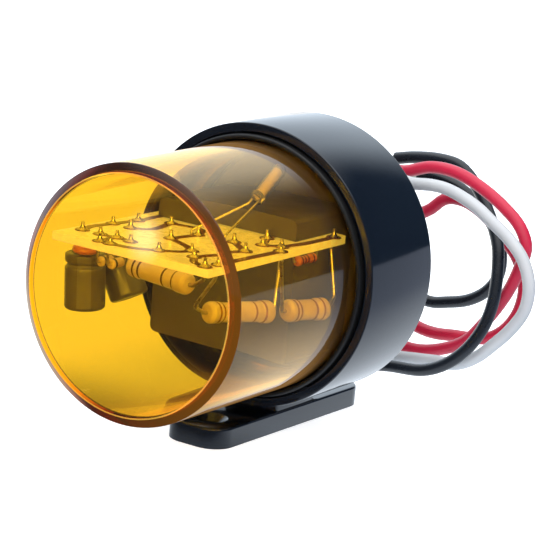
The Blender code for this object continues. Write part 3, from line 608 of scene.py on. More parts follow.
def amber_edge_highlight():
    """The polished inner edge of the rim, with a painted highlight: a steady glow that shows as a fine
    bright line.
    """
    material, tree, shader = new_material("amber_edge_highlight", IOR=POLYCARBONATE_IOR, Roughness=RIM_ROUGHNESS)
    shader.inputs["Transmission Weight"].default_value = 0.8
    # Painted highlight: the edge glows a pale amber, though it is no lamp.
    shader.inputs["Emission Color"].default_value = linear("#FFC848")
    shader.inputs["Emission Strength"].default_value = 0.45
    add_two_tones(tree, shader, 8 * MM, "#FFD070", "#F0B850")
    add_dye(tree)
    return material


AMBER_RIM = amber_rim()
AMBER_EDGE_HIGHLIGHT = amber_edge_highlight()

# %% [markdown]
# ## Turning the cup
# One closed outline makes the whole cup: the window's outside, the chamfered rim, the drafted wall
# with its open end, and back along the inside. Faces are then given the rim's own finish by how far
# they lean from the window.

# %% Lens cup
LENS_DRAFT = 0.1 * MM
LENS_WALL = 2.0 * MM
LENS_WINDOW = 1.8 * MM
LENS_CHAMFER_WIDTH = 1.9 * MM
LENS_CHAMFER_DEPTH = 1.2 * MM
LENS_EDGE_ROUND = 0.3 * MM
LENS_FACE_ROUND = 0.6 * MM
LENS_INNER_FILLET = 0.5 * MM
LENS_END_CHAMFER = 0.15 * MM
# In degrees. Faces that lean less than the first are the window, and those that lean nearly as far
# as the chamfer, short of it by no more than the second, are the rim. Its inner edge lies between.
WINDOW_LEAN = 3
CHAMFER_MARGIN = 2


def lens_outer(depth):
    """Radius of the drafted outside of the cup."""
    return LENS_RADIUS - LENS_DRAFT * (depth - LENS_CHAMFER_DEPTH) / (LENS_LENGTH - LENS_CHAMFER_DEPTH)


def make_lens():
    """The whole cup as one shell, with a finish of its own for the rim and for the rim's inner edge."""
    flat = LENS_RADIUS - LENS_CHAMFER_WIDTH
    slope = math.degrees(math.atan2(LENS_CHAMFER_DEPTH, LENS_CHAMFER_WIDTH))
    edge = LENS_EDGE_ROUND
    half = math.radians(slope / 2)
    profile = [(0, 0)]
    face = LENS_FACE_ROUND
    profile += arc(flat - face * math.tan(half), face, face, -90, -90 + slope, 4)
    corner = math.radians((90 - slope) / 2)
    shift = edge * math.tan(corner)
    profile += arc(LENS_RADIUS - edge, LENS_CHAMFER_DEPTH + shift, edge, slope - 90, 0, 4)
    open_end = lens_outer(LENS_LENGTH)
    profile += [(open_end, LENS_LENGTH - LENS_END_CHAMFER), (open_end - LENS_END_CHAMFER, LENS_LENGTH)]
    profile += [(open_end - LENS_WALL, LENS_LENGTH)]
    inner_front = lens_outer(LENS_WINDOW) - LENS_WALL
    profile += arc(inner_front - LENS_INNER_FILLET, LENS_WINDOW + LENS_INNER_FILLET,
                   LENS_INNER_FILLET, 0, -90, 6)
    profile.append((0, LENS_WINDOW))
    cup = spun("lens_cup", profile, (AMBER, AMBER_RIM, AMBER_EDGE_HIGHLIGHT), steps=256, body="lens",
               replaced=("lens",), slot="amber_lens")
    for polygon in cup.data.polygons:
        if polygon.center.y < FRONT + LENS_CHAMFER_DEPTH + edge:
            tilt = math.degrees(math.acos(min(1.0, -polygon.normal.y)))
            if WINDOW_LEAN < tilt < slope - CHAMFER_MARGIN:
                polygon.material_index = 2
            elif tilt >= slope - CHAMFER_MARGIN:
                polygon.material_index = 1


make_lens()

# %% [markdown]
# ## Housing, foot and gasket
# The housing is glossy black ABS in one moulding: a drafted cup with a crisp front edge, a short
# pedestal and a long foot with round corners. A polished mould gives a deep mirror that is a
# little wavy. The gasket is black rubber, which is much duller.

# %% Black finishes
def black_abs():
    """A dark body under a clean moulded skin, so that it mirrors the room softly."""
    material, tree, shader = new_material("black_abs", IOR=1.52)
    shader.inputs["Coat Weight"].default_value = 0.3
    shader.inputs["Coat Roughness"].default_value = 0.08
    add_two_tones(tree, shader, 20 * MM, "#161D27", "#10161F")
    add_uneven_gloss(tree, shader, 9 * MM, 0.07, 0.14)
    add_grain(tree, shader, 2.2 * MM, 0.01 * MM)
    return material


def black_rubber():
    """Cut and moulded rubber: almost black, with a dull broad sheen."""
    material, tree, shader = new_material("black_rubber", IOR=1.52)
    add_two_tones(tree, shader, 3 * MM, "#0E0E0F", "#171717")
    add_uneven_gloss(tree, shader, 2 * MM, 0.45, 0.6)
    add_grain(tree, shader, 0.5 * MM, 0.02 * MM)
    return material


BLACK_ABS = black_abs()
RUBBER = black_rubber()

# %% [markdown]
# ## Gasket and cup
# Both are turned about the lens's axis. The housing's depths are measured from the lens's window,
# and each bore inside it follows from the piece that sits there and the clearance around it.

# %% Sizes of the housing
HOUSING_DEPTH = 41.3 * MM
HOUSING_LENGTH = 22.7 * MM
HOUSING_DRAFT = 0.1 * MM
HOUSING_EDGE_ROUND = 0.3 * MM
REAR_WALL = 2.5 * MM
GASKET_WIDTH = 1.1 * MM
GASKET_LENGTH = 4.4 * MM
GASKET_PROUD = 1.4 * MM
LENS_SEAT_WIDTH = 1.45 * MM
GROMMET_RADIUS = 6.0 * MM
HOUSING_REAR = HOUSING_DEPTH + HOUSING_LENGTH
WALL_FACE = HOUSING_REAR - REAR_WALL
LENS_BORE = LENS_RADIUS - LENS_DRAFT + GAP
GASKET_BORE = LENS_BORE + GASKET_WIDTH + GAP
GASKET_FRONT = HOUSING_DEPTH - GASKET_PROUD
HOLDER_BORE = LENS_BORE - LENS_SEAT_WIDTH


# %% Gasket and housing cup
def make_gasket():
    """A rubber ring whose round bead stands a little out of the housing."""
    bead = GASKET_WIDTH / 2
    rear = GASKET_FRONT + GASKET_LENGTH
    profile = arc(LENS_BORE + bead, GASKET_FRONT + bead, bead, -180, 0, 12)
    profile += [(LENS_BORE + GASKET_WIDTH, rear), (LENS_BORE, rear)]
    spun("gasket_ring", profile, RUBBER, closed=True, replaced=("lens_gasket",), slot="black_rubber")


def make_housing_cup():
    """The round wall, the shoulder that the lens rests on, and the rear wall with its hole."""
    rear_radius = HOUSING_RADIUS - HOUSING_DRAFT
    edge = HOUSING_EDGE_ROUND
    hole = GROMMET_RADIUS + GAP
    lens_seat = LENS_LENGTH + GAP
    gasket_seat = GASKET_FRONT + GASKET_LENGTH + GAP
    profile = [(GASKET_BORE, HOUSING_DEPTH + edge)]
    profile += arc(GASKET_BORE + edge, HOUSING_DEPTH + edge, edge, -150, -90, 4)
    profile += arc(HOUSING_RADIUS - edge, HOUSING_DEPTH + edge, edge, -90, 0, 6)
    profile += arc(rear_radius - edge, HOUSING_REAR - edge, edge, 0, 90, 6)
    profile += [(hole, HOUSING_REAR), (hole, WALL_FACE), (HOLDER_BORE, WALL_FACE),
                (HOLDER_BORE, lens_seat), (LENS_BORE, lens_seat), (LENS_BORE, gasket_seat),
                (GASKET_BORE, gasket_seat)]
    spun("housing_cup", profile, BLACK_ABS, closed=True, replaced=("housing",), slot="black_plastic")


make_gasket()
make_housing_cup()

# %% [markdown]
# ## Foot and pedestal
# The foot starts as a stretched cube: its upright edges are bevelled wide for the round plan, then
# its top rim is bevelled finely. The two countersunk holes are turned shapes, taken out by Boolean
# modifiers that are applied at once.

# %% Sizes of the foot
FOOT_LENGTH = 54.4 * MM
FOOT_WIDTH = 14.2 * MM
FOOT_THICKNESS = 4.2 * MM
FOOT_CORNER = 5.0 * MM
FOOT_EDGE_ROUND = 0.5 * MM
PEDESTAL_WIDTH = 13.2 * MM
PEDESTAL_MARGIN = 4.6 * MM
MOUNT_HOLE_DIAMETER = 4.4 * MM
MOUNT_COUNTERSINK = 7.2 * MM
MOUNT_COUNTERSINK_DEPTH = 1.5 * MM
MOUNT_HOLE_INSET = 7.2 * MM
FOOT_REAR = housing_high.y
PEDESTAL_SINK = 0.2 * MM
PEDESTAL_CORNER = 0.6 * MM


# %% Blocks and cuts
def box_between(shape, low, high):
    """A cube stretched between two corners."""
    made = bmesh.ops.create_cube(shape, size=1.0)["verts"]
    bmesh.ops.scale(shape, vec=high - low, verts=made)
    bmesh.ops.translate(shape, vec=(low + high) / 2, verts=made)
    return made


def edges_of(verts):
    return list({e for v in verts for e in v.link_edges})


def along_axis(edge, axis):
    return abs((edge.verts[0].co - edge.verts[1].co).normalized()[axis]) > 0.9


def cut_away(target, tools):
    """Take closed shapes out of a piece, then keep only the cut mesh."""
    for tool in tools:
        step = target.modifiers.new("cut_" + tool.name, "BOOLEAN")
        step.operation = "DIFFERENCE"
        step.solver = "EXACT"
        step.object = tool
    graph = bpy.context.evaluated_depsgraph_get()
    mesh = bpy.data.meshes.new_from_object(target.evaluated_get(graph))
    target.modifiers.clear()
    target.data = mesh
    for tool in tools:
        bpy.data.objects.remove(tool)
    print("%s: %d faces once cut" % (target.name, len(mesh.polygons)))


# %% Foot and pedestal
def screw_hole(name, y):
    """A countersunk hole as a closed shape, a little longer than the foot is thick."""
    shape = bmesh.new()
    hole = MOUNT_HOLE_DIAMETER / 2
    sink = MOUNT_COUNTERSINK / 2
    profile = [(0, -MM), (sink + MM, -MM), (sink, 0), (hole, MOUNT_COUNTERSINK_DEPTH),
               (hole, FOOT_THICKNESS + MM), (0, FOOT_THICKNESS + MM)]
    spin_into(shape, profile, axis_turn((0, y, FOOT_THICKNESS), (0, 0, -1)), 48)
    return mesh_object(name, shape)


def make_foot():
    """The long plate, rounded in plan and eased along its top rim, with its two screw holes."""
    shape = bmesh.new()
    half = FOOT_WIDTH / 2
    verts = box_between(shape, Vector((-half, FOOT_REAR - FOOT_LENGTH, 0)),
                        Vector((half, FOOT_REAR, FOOT_THICKNESS)))
    corners = [e for e in edges_of(verts) if along_axis(e, 2)]
    bmesh.ops.bevel(shape, geom=corners, offset=FOOT_CORNER, segments=12, profile=0.5,
                    affect="EDGES", material=-1)
    rim = [e for e in shape.edges if all(abs(v.co.z - FOOT_THICKNESS) < 0.00001 for v in e.verts)]
    bmesh.ops.bevel(shape, geom=rim, offset=FOOT_EDGE_ROUND, segments=4, profile=0.5, affect="EDGES",
                    material=-1)
    foot = link_mesh("foot_plate", shape, BLACK_ABS, slot="black_plastic")
    cut_away(foot, [screw_hole("screw_hole_front", FOOT_REAR - FOOT_LENGTH + MOUNT_HOLE_INSET),
                    screw_hole("screw_hole_rear", FOOT_REAR - MOUNT_HOLE_INSET)])


def make_pedestal():
    """The block between the foot and the round housing, let a little into both."""
    shape = bmesh.new()
    half = PEDESTAL_WIDTH / 2
    under_axis = math.sqrt((HOUSING_RADIUS - HOUSING_DRAFT) ** 2 - half ** 2)
    low = Vector((-half, FRONT + HOUSING_DEPTH + PEDESTAL_MARGIN, FOOT_THICKNESS - PEDESTAL_SINK))
    high = Vector((half, FRONT + HOUSING_REAR - PEDESTAL_MARGIN, AXIS_HEIGHT - under_axis + GAP))
    verts = box_between(shape, low, high)
    corners = [e for e in edges_of(verts) if along_axis(e, 2)]
    bmesh.ops.bevel(shape, geom=corners, offset=PEDESTAL_CORNER, segments=3, profile=0.5,
                    affect="EDGES", material=-1)
    link_mesh("pedestal", shape, BLACK_ABS, slot="black_plastic")


make_foot()
make_pedestal()

# %% [markdown]
# ## Grommet, holder and the tails inside
# The rubber grommet seals the hole where the leads come out. The holder is a dull dark moulding
# that takes the rear end of the board. The solid holder keeps its shape and gets its finish.

# %% Holder and tails
def holder_plastic():
    """Glass-filled nylon from a blasted mould: a dark, dull skin with a fine grain."""
    material, tree, shader = new_material("dark_moulded_nylon", IOR=1.53)
    add_two_tones(tree, shader, 12 * MM, "#6E6A67", "#605C59")
    add_uneven_gloss(tree, shader, 6 * MM, 0.42, 0.6)
    add_grain(tree, shader, 0.6 * MM, 0.02 * MM)
    return material


def dress_node(node, material):
    """Give a solid its finish; its shape stays."""
    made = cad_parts[node]
    made.data.materials.clear()
    made.data.materials.append(material)
    print("%s: dressed in %s" % (node, material.name))


dress_node("board_holder", holder_plastic())
for number in (1, 2, 3):
    dress_node("board_lead_%d" % number, BLACK_PVC)

# %% [markdown]
# ## Turning the grommet
# Its outline has a small sloping lip inside the wall, a round flange outside and the plain waist
# between them. The three holes for the leads are cut afterwards.

# %% Grommet
GROMMET_FLANGE = 1.8 * MM
GROMMET_LIP = 1.5 * MM
FLANGE_STEP = 0.2 * MM
WIRE_HOLE = WIRE_DIAMETER / 2 + GAP


def make_grommet():
    """The turned rubber body, cut through where each lead passes."""
    flange = GROMMET_RADIUS + GROMMET_FLANGE
    inside = WALL_FACE - GAP
    outside = HOUSING_REAR + GAP
    lip = GROMMET_LIP / 2
    profile = [(0, inside - GROMMET_LIP), (GROMMET_RADIUS, inside - GROMMET_LIP), (flange, inside),
               (GROMMET_RADIUS, inside), (GROMMET_RADIUS, outside), (flange - FLANGE_STEP, outside)]
    profile += arc(flange - lip, outside + lip, lip, 0, 90, 8)
    profile.append((0, outside + GROMMET_LIP))
    grommet = spun("rubber_grommet", profile, RUBBER, steps=96, replaced=("cable_grommet",),
                   slot="black_rubber")
    near, far = inside - 2 * GROMMET_LIP, outside + 2 * GROMMET_LIP
    tools = []
    for colour, (x, z) in WIRE_EXITS.items():
        shape = bmesh.new()
        spin_into(shape, [(0, near), (WIRE_HOLE, near), (WIRE_HOLE, far), (0, far)],
                  axis_turn(place(x * MM, 0, z * MM), (0, 1, 0)), 32)
        tools.append(mesh_object("lead_hole_" + colour, shape))
    cut_away(grommet, tools)


make_grommet()

# %% [markdown]
# ## Circuit board
# Pale translucent laminate with its solder side up: copper tracks under lacquer, a round pad and a
# cone of solder at each lead, and the tip of each lead standing out of its solder. A painted glow
# all over the board stands in for the light that its cut edge gathers.

# %% Board finishes
def board_laminate():
    """Pressed paper and resin: pale and a little see-through, with a painted glow for the light that
    spreads inside it.
    """
    material, tree, shader = new_material("paper_laminate", IOR=1.5)
    shader.inputs["Coat Weight"].default_value = 0.8
    shader.inputs["Coat Roughness"].default_value = 0.12
    # Painted light: the whole board glows pale yellow, though it is no lamp.
    shader.inputs["Emission Color"].default_value = linear("#FFF1C0")
    shader.inputs["Emission Strength"].default_value = 0.6
    add_two_tones(tree, shader, 2.5 * MM, "#FFF6D2", "#F7E6A6")
    add_uneven_gloss(tree, shader, 3 * MM, 0.2, 0.35)
    add_grain(tree, shader, 0.4 * MM, 0.01 * MM)
    return material


def lacquered_copper():
    """Etched copper under a brown-gold lacquer, which hides most of its metal."""
    material, tree, shader = new_material("lacquered_copper", IOR=1.5)
    shader.inputs["Coat Weight"].default_value = 0.6
    add_two_tones(tree, shader, 1.5 * MM, "#9A6A2E", "#74481A")
    add_uneven_gloss(tree, shader, 1 * MM, 0.25, 0.4)
    return material


LAMINATE = board_laminate()
COPPER = lacquered_copper()
SOLDER = tinned_copper("solder", "#E4E0D4", 0.16)

# %% Board slab
BOARD_WIDTH = 37.2 * MM
BOARD_LENGTH = 45.0 * MM
BOARD_OFFSET = -1.3 * MM
BOARD_UNDER = 7.0 * MM
BOARD_TOP = BOARD_UNDER + 1.6 * MM
BOARD_FRONT = LENS_WINDOW + GAP
BOARD_CORNER = 0.6 * MM
BOARD_EDGE_ROUND = 0.08 * MM


def make_board():
    """A flat slab with small corners and a hair of an edge all round."""
    shape = bmesh.new()
    half = BOARD_WIDTH / 2
    verts = box_between(shape, place(BOARD_OFFSET - half, BOARD_FRONT, BOARD_UNDER),
                        place(BOARD_OFFSET + half, BOARD_FRONT + BOARD_LENGTH, BOARD_TOP))
    corners = [e for e in edges_of(verts) if along_axis(e, 2)]
    bmesh.ops.bevel(shape, geom=corners, offset=BOARD_CORNER, segments=4, profile=0.5,
                    affect="EDGES", material=-1)
    rims = [e for e in shape.edges if not along_axis(e, 2)]
    bmesh.ops.bevel(shape, geom=rims, offset=BOARD_EDGE_ROUND, segments=1, profile=0.5,
                    affect="EDGES", material=-1)
    link_mesh("board_slab", shape, LAMINATE, replaced=("circuit_board",), slot="board_laminate")


make_board()

# %% [markdown]
# ## The solder side
# Each joint is a round pad with a cone of solder on it, and tracks run between the joints. Most
# joints sit over the lead of a component. All places are in mm: across, then behind the window.

# %% Joints and tracks
JOINTS = ((-5.5, 8.3), (15.2, 3.8), (16.0, 7.2), (15.0, 27.3), (17.0, 24.0), (16.6, 43.4), (-17.2, 8.2),
          (-12.8, 8.2), (-17.4, 18.2), (-13.0, 18.2), (-9.1, 3.3), (-6.6, 3.3), (-9.1, 8.7), (9.2, 30.8),
          (12.9, 18.0), (12.0, 25.2), (6.2, 12.4), (-2.7, 17.8), (-1.4, 25.6), (-16.4, 25.4),
          (-11.0, 29.6), (7.2, 22.4), (2.2, 7.0), (9.4, 8.6))
TRACKS = (((-17.2, 8.2), (-18.2, 12.0), (-17.4, 18.2)), ((-12.8, 8.2), (-9.1, 8.7)),
          ((-13.0, 18.2), (-10.0, 21.0), (-11.0, 29.6)), ((-9.1, 3.3), (-9.1, 8.7), (-5.5, 8.3)),
          ((-6.6, 3.3), (-2.0, 4.2), (2.2, 7.0)), ((2.2, 7.0), (5.0, 9.6), (6.2, 12.4)),
          ((15.2, 3.8), (12.0, 5.0), (9.4, 8.6)), ((9.4, 8.6), (10.6, 12.6), (12.9, 18.0)),
          ((16.0, 7.2), (16.4, 14.0), (17.0, 24.0)), ((6.2, 12.4), (3.0, 15.0), (-2.7, 17.8)),
          ((-2.7, 17.8), (-1.4, 25.6)), ((12.9, 18.0), (10.2, 20.0), (7.2, 22.4)),
          ((12.0, 25.2), (15.0, 27.3)), ((9.2, 30.8), (12.0, 25.2)), ((-16.4, 25.4), (-17.4, 18.2)),
          ((-11.0, 29.6), (-4.0, 30.4), (-1.4, 25.6)), ((15.0, 27.3), (16.2, 34.0), (16.6, 43.4)),
          ((-16.4, 25.4), (-15.4, 38.0), (-6.0, 44.0)), ((9.2, 30.8), (8.0, 38.0), (3.0, 44.0)))
TRACK_WIDTH = 1.5 * MM
TRACK_HEIGHT = 0.1 * MM
TRACK_STEP = 1.0 * MM
TRACK_FOOT = 1.1
PAD_DIAMETER = 2.9 * MM
PAD_HEIGHT = TRACK_HEIGHT + 0.03 * MM
PAD_SLOPE = 0.08 * MM


def on_board(x, depth, height=0.0):
    """A point above the copper side, from mm across and behind the window."""
    return place(x * MM, depth * MM, BOARD_TOP + height)


def make_tracks():
    """Flat strips of copper with a step down at each side."""
    shape = bmesh.new()
    for track in TRACKS:
        route, _ = smooth_route([on_board(x, depth) for x, depth in track], TRACK_STEP)
        rows = []
        for i, point in enumerate(route):
            along = (route[min(i + 1, len(route) - 1)] - route[max(i - 1, 0)]).normalized()
            aside = Vector((-along.y, along.x, 0)) * TRACK_WIDTH / 2
            up = Vector((0, 0, TRACK_HEIGHT))
            edges = (aside * TRACK_FOOT, aside + up, up - aside, aside * -TRACK_FOOT)
            rows.append([shape.verts.new(point + edge) for edge in edges])
        for row, following in zip(rows, rows[1:]):
            for i in range(3):
                shape.faces.new((row[i], following[i], following[i + 1], row[i + 1]))
    bmesh.ops.recalc_face_normals(shape, faces=shape.faces)
    face_down = [f for f in shape.faces if f.normal.z < -0.1]
    bmesh.ops.reverse_faces(shape, faces=face_down)
    link_mesh("board_tracks", shape, COPPER)


def make_pads():
    """Round copper pads, as thick as the tracks and a little more."""
    shape = bmesh.new()
    radius = PAD_DIAMETER / 2
    for x, depth in JOINTS:
        spin_into(shape, [(radius + PAD_SLOPE, 0), (radius, PAD_HEIGHT), (0, PAD_HEIGHT)],
                  axis_turn(on_board(x, depth), (0, 0, 1)), 24)
    link_mesh("board_pads", shape, COPPER)


# %% [markdown]
# ## Solder
# Molten solder draws up each lead and leaves a hollow cone. No two joints take the same amount, so
# widths and heights run through a few steps that don't keep time with each other.

# %% Solder cones
# The least, and the spread above it, in mm.
SOLDER_RADIUS = (1.05, 0.12)
SOLDER_HEIGHT = (0.95, 0.35)
SOLDER_HOLLOW = 2.2
SOLDER_STEPS = 8
TIP_RADIUS = 0.34 * MM
TIP_LENGTH = 0.45 * MM
TIP_EDGE = 0.08 * MM


def varied(least_and_spread, number, stride, steps):
    """One of a few sizes, from the least up to nearly the whole spread above it."""
    least, spread = least_and_spread
    return (least + spread * ((number * stride) % steps) / steps) * MM


def make_solder():
    """Cones of solder that draw up each lead, with the cut tip of the lead."""
    shape = bmesh.new()
    for number, (x, depth) in enumerate(JOINTS):
        wide = varied(SOLDER_RADIUS, number, 7, 5) - TIP_RADIUS
        tall = varied(SOLDER_HEIGHT, number, 3, 4)
        shares = [i / SOLDER_STEPS for i in range(SOLDER_STEPS + 1)]
        profile = [(TIP_RADIUS + wide * (1 - t) ** SOLDER_HOLLOW, tall * t) for t in shares]
        tip = tall + TIP_LENGTH
        profile += [(TIP_RADIUS, tip - TIP_EDGE), (TIP_RADIUS - TIP_EDGE, tip), (0, tip)]
        spin_into(shape, profile, axis_turn(on_board(x, depth, TRACK_HEIGHT), (0, 0, 1)), 20)
    link_mesh("solder_joints", shape, SOLDER)


make_tracks()
make_pads()
make_solder()

# %% [markdown]
# ## Board components
# Wire-ended resistors with lacquered bodies and colour bands, sleeved electrolytic capacitors, a
# dipped disc, two small glass diodes and a small lamp. Each body is turned from a profile, and
# the bands are faces of their own colour.

# %% Component finishes
def lacquer(name, colour, darker, roughness=0.3, coat=0.4):
    """Baked or dipped lacquer: a smooth full skin that pools a little and shines softly."""
    material, tree, shader = new_material(name, IOR=1.5)
    shader.inputs["Coat Weight"].default_value = coat
    shader.inputs["Coat Roughness"].default_value = 0.1
    add_two_tones(tree, shader, 2 * MM, colour, darker)
    add_uneven_gloss(tree, shader, 1.5 * MM, roughness, roughness + 0.15)
    add_grain(tree, shader, 0.5 * MM, 0.02 * MM)
    return material


def clear_glass(name, colour):
    """Drawn glass tube: very clear, with slight waves."""
    material, tree, shader = new_material(name, IOR=1.47, Roughness=0.02)
    shader.inputs["Base Color"].default_value = linear(colour)
    shader.inputs["Transmission Weight"].default_value = 1.0
    add_grain(tree, shader, 3 * MM, 0.01 * MM, 1.0)
    return material


BEIGE = lacquer("beige_lacquer", "#F6E4C6", "#EAD2A8")
BROWN_BAND = lacquer("brown_band", "#5A3418", "#4A2A12")
TAN_BAND = lacquer("tan_band", "#B07A40", "#9C6832")
SLEEVE = lacquer("capacitor_sleeve", "#716E6B", "#615E5B", 0.3)
SLEEVE_STRIPE = lacquer("sleeve_stripe", "#858280", "#787572", 0.3)
ALUMINIUM = tinned_copper("aluminium_can", "#CFCFCC", 0.3)
BUNG = lacquer("rubber_bung", "#3A3632", "#2C2926", 0.5, 0.0)
ORANGE_DIP = lacquer("orange_dip", "#E08A3C", "#CC7228")
DIODE_GLASS = lacquer("diode_glass", "#F2DDB0", "#E6C88C", 0.12)
DARK_BAND = lacquer("dark_band", "#2A2420", "#1E1A16")
LAMP_GLASS = clear_glass("lamp_glass", "#FFF8E8")
LAMP_CORE = lacquer("lamp_core", "#FBF3D6", "#EFE2B4", 0.4)

# %% [markdown]
# ## Turned bodies and bent leads
# A resistor, a diode and a lamp are all bodies of revolution, so one helper turns a profile and
# gives its bands a colour of their own. Their leads are tubes along a few points with the corners
# rounded, as pliers leave them.

# %% Turned component bodies
LEAD_DIAMETER = 0.8 * MM
THIN_LEAD_DIAMETER = 0.5 * MM
LEAD_STRAIGHT = 0.9 * MM
LEAD_BEND = 1.2 * MM
BONE_EASE = 0.7 * MM
BONE_STEPS = 8


def under_board(x, depth, drop=0.0):
    """A point below the board, from mm across, behind the window and under the board."""
    return place(x * MM, depth * MM, BOARD_UNDER - drop * MM)


def dense(profile, step):
    """The profile with extra points, so that bands can start and end between them."""
    points = [profile[0]]
    for (r0, d0), (r1, d1) in zip(profile, profile[1:]):
        count = max(1, math.ceil(math.hypot(r1 - r0, d1 - d0) / step))
        points += [(r0 + (r1 - r0) * i / count, d0 + (d1 - d0) * i / count) for i in range(1, count + 1)]
    return points


def banded_body(name, profile, finishes, origin, direction, bands, slot, steps=48):
    """A turned body whose bands, given from and to along it, take the second finish and on."""
    direction = Vector(direction).normalized()
    shape = bmesh.new()
    spin_into(shape, dense(profile, 0.1 * MM), axis_turn(origin, direction), steps)
    for face in shape.faces:
        along = (face.calc_center_median() - origin).dot(direction)
        for low, high, index in bands:
            if low <= along <= high:
                face.material_index = index
    return link_mesh(name + "_body", shape, finishes, replaced=(name,), slot=slot)


def dog_bone(length, cap, body, cap_length, tip, edge):
    """Resistor outline: a rounded cap at each end and a slightly thinner middle."""
    profile = [(0, 0), (tip, 0)]
    profile += arc(cap - edge, edge, edge, -80, 0, 8)
    shares = [i / BONE_STEPS for i in range(BONE_STEPS + 1)]
    blend = [(t, (1 - math.cos(math.pi * t)) / 2) for t in shares]
    profile += [(cap + (body - cap) * share, cap_length + BONE_EASE * t) for t, share in blend]
    profile += [(body + (cap - body) * share, length - cap_length - BONE_EASE * (1 - t))
                for t, share in blend]
    profile += arc(cap - edge, length - edge, edge, 0, 80, 8)
    return profile + [(tip, length), (0, length)]


# %% Bent leads
def rounded_path(points, bend, count=8):
    """A polyline with its inner corners rounded."""
    path = [Vector(points[0])]
    for before, corner, after in zip(points, points[1:], points[2:]):
        before, corner, after = Vector(before), Vector(corner), Vector(after)
        reach = min(bend, (corner - before).length * 0.45, (after - corner).length * 0.45)
        start = corner + (before - corner).normalized() * reach
        end = corner + (after - corner).normalized() * reach
        for i in range(count + 1):
            t = i / count
            path.append(start * (1 - t) ** 2 + corner * 2 * t * (1 - t) + end * t ** 2)
    path.append(Vector(points[-1]))
    return path


def bent_lead(node, points, diameter):
    """A component's own lead, in place of the solid of that name."""
    tube(node + "_wire", rounded_path(points, LEAD_BEND), diameter, TINNED, replaced=(node,),
         slot="tinned_wire")


# %% [markdown]
# ## Power resistors
# Three of the same kind hang under the board on their own bent leads. For each: the start and end
# of its body, then the bends and the top of its front lead, and of its rear lead. Places are in mm:
# across, behind the window and below the board.

# %% Power resistors
RESISTOR_DIAMETER = 3.9 * MM
RESISTOR_CAP_DIAMETER = 4.3 * MM
RESISTOR_CAP_LENGTH = 2.6 * MM
RESISTOR_EDGE = 0.9 * MM
BAND_SHARES = (0.14, 0.22, 0.64, 0.81)
HALF_BAND = 0.25 * MM
RESISTORS = {
    "resistor_front": ((-4.2, 7.7, 2.7), (11.6, 4.5, 2.7), (), (-5.5, 8.3), (), (15.2, 3.8)),
    "resistor_middle": ((12.8, 9.6, 8.7), (16.2, 23.4, 10.1), ((12.4, 5.6, 7.0),), (16.0, 6.6), (),
                        (15.0, 27.3)),
    "resistor_rear": ((17.2, 27.2, 10.3), (19.0, 38.4, 11.1), (), (17.4, 24.0), ((18.6, 42.4, 9.6),),
                      (16.2, 43.4))}


def make_power_resistor(name, start, end, front_knees, front_top, rear_knees, rear_top):
    """A lacquered body with four bands, and its two bent leads."""
    start, end = under_board(*start), under_board(*end)
    length = (end - start).length
    direction = (end - start).normalized()
    profile = dog_bone(length, RESISTOR_CAP_DIAMETER / 2, RESISTOR_DIAMETER / 2, RESISTOR_CAP_LENGTH,
                       LEAD_DIAMETER, RESISTOR_EDGE)
    bands = [(length * share - HALF_BAND, length * share + HALF_BAND, 1) for share in BAND_SHARES]
    colour = BROWN_BAND if name == "resistor_front" else TAN_BAND
    banded_body(name, profile, (BEIGE, colour), start, direction, bands, "resistor_coating")
    outward = direction * LEAD_STRAIGHT
    below = Vector((0, 0, LEAD_STRAIGHT))
    ends = ((start, -outward, front_knees, front_top), (end, outward, rear_knees, rear_top))
    for number, (foot, away, knees, top) in enumerate(ends, 1):
        top = under_board(*top)
        points = [foot, foot + away, *[under_board(*knee) for knee in knees], top - below, top]
        bent_lead("%s_lead_%d" % (name, number), points, LEAD_DIAMETER)


for resistor, sizes in RESISTORS.items():
    make_power_resistor(resistor, *sizes)

# %% [markdown]
# ## Capacitors and disc
# An electrolytic capacitor is an aluminium can with a rubber bung crimped into its open end and a
# printed sleeve shrunk over it, which leaves the round end bare. For each: where its top is under
# the board, how far it leans to the right, its diameter and length, and the tops of its two legs.

# %% Capacitors
CAPACITORS = {
    "capacitor_large": ((-16.0, 8.2, 2.6), 4, 8.0 * MM, 11.2 * MM, ((-17.2, 8.2), (-12.8, 8.2))),
    "capacitor_small": ((-17.0, 18.2, 3.0), 29, 8.0 * MM, 10.8 * MM, ((-17.4, 18.2), (-13.0, 18.2)))}
SLEEVE_MARGIN = 1.3 * MM
TOP_ROUND = 0.5 * MM
CAN_ROUND = 0.8 * MM
CAN_DISH = 0.15 * MM
CRIMP_START = 1.5 * MM
CRIMP_LENGTH = 1.4 * MM
CRIMP_DEPTH = 0.5 * MM
STRIPE_SIDE = Vector((0.55, -0.83, 0))
STRIPE_MARGIN = 0.7 * MM
STRIPE_SPREAD = 0.93
HALF_LEG_SPACING = 1.7 * MM
LEG_STRAIGHT = 0.8 * MM
LEG_TOP = 0.7 * MM


def leaning(degrees):
    """Downwards, turned towards the right by some degrees."""
    angle = math.radians(degrees)
    return Vector((math.sin(angle), 0, -math.cos(angle)))


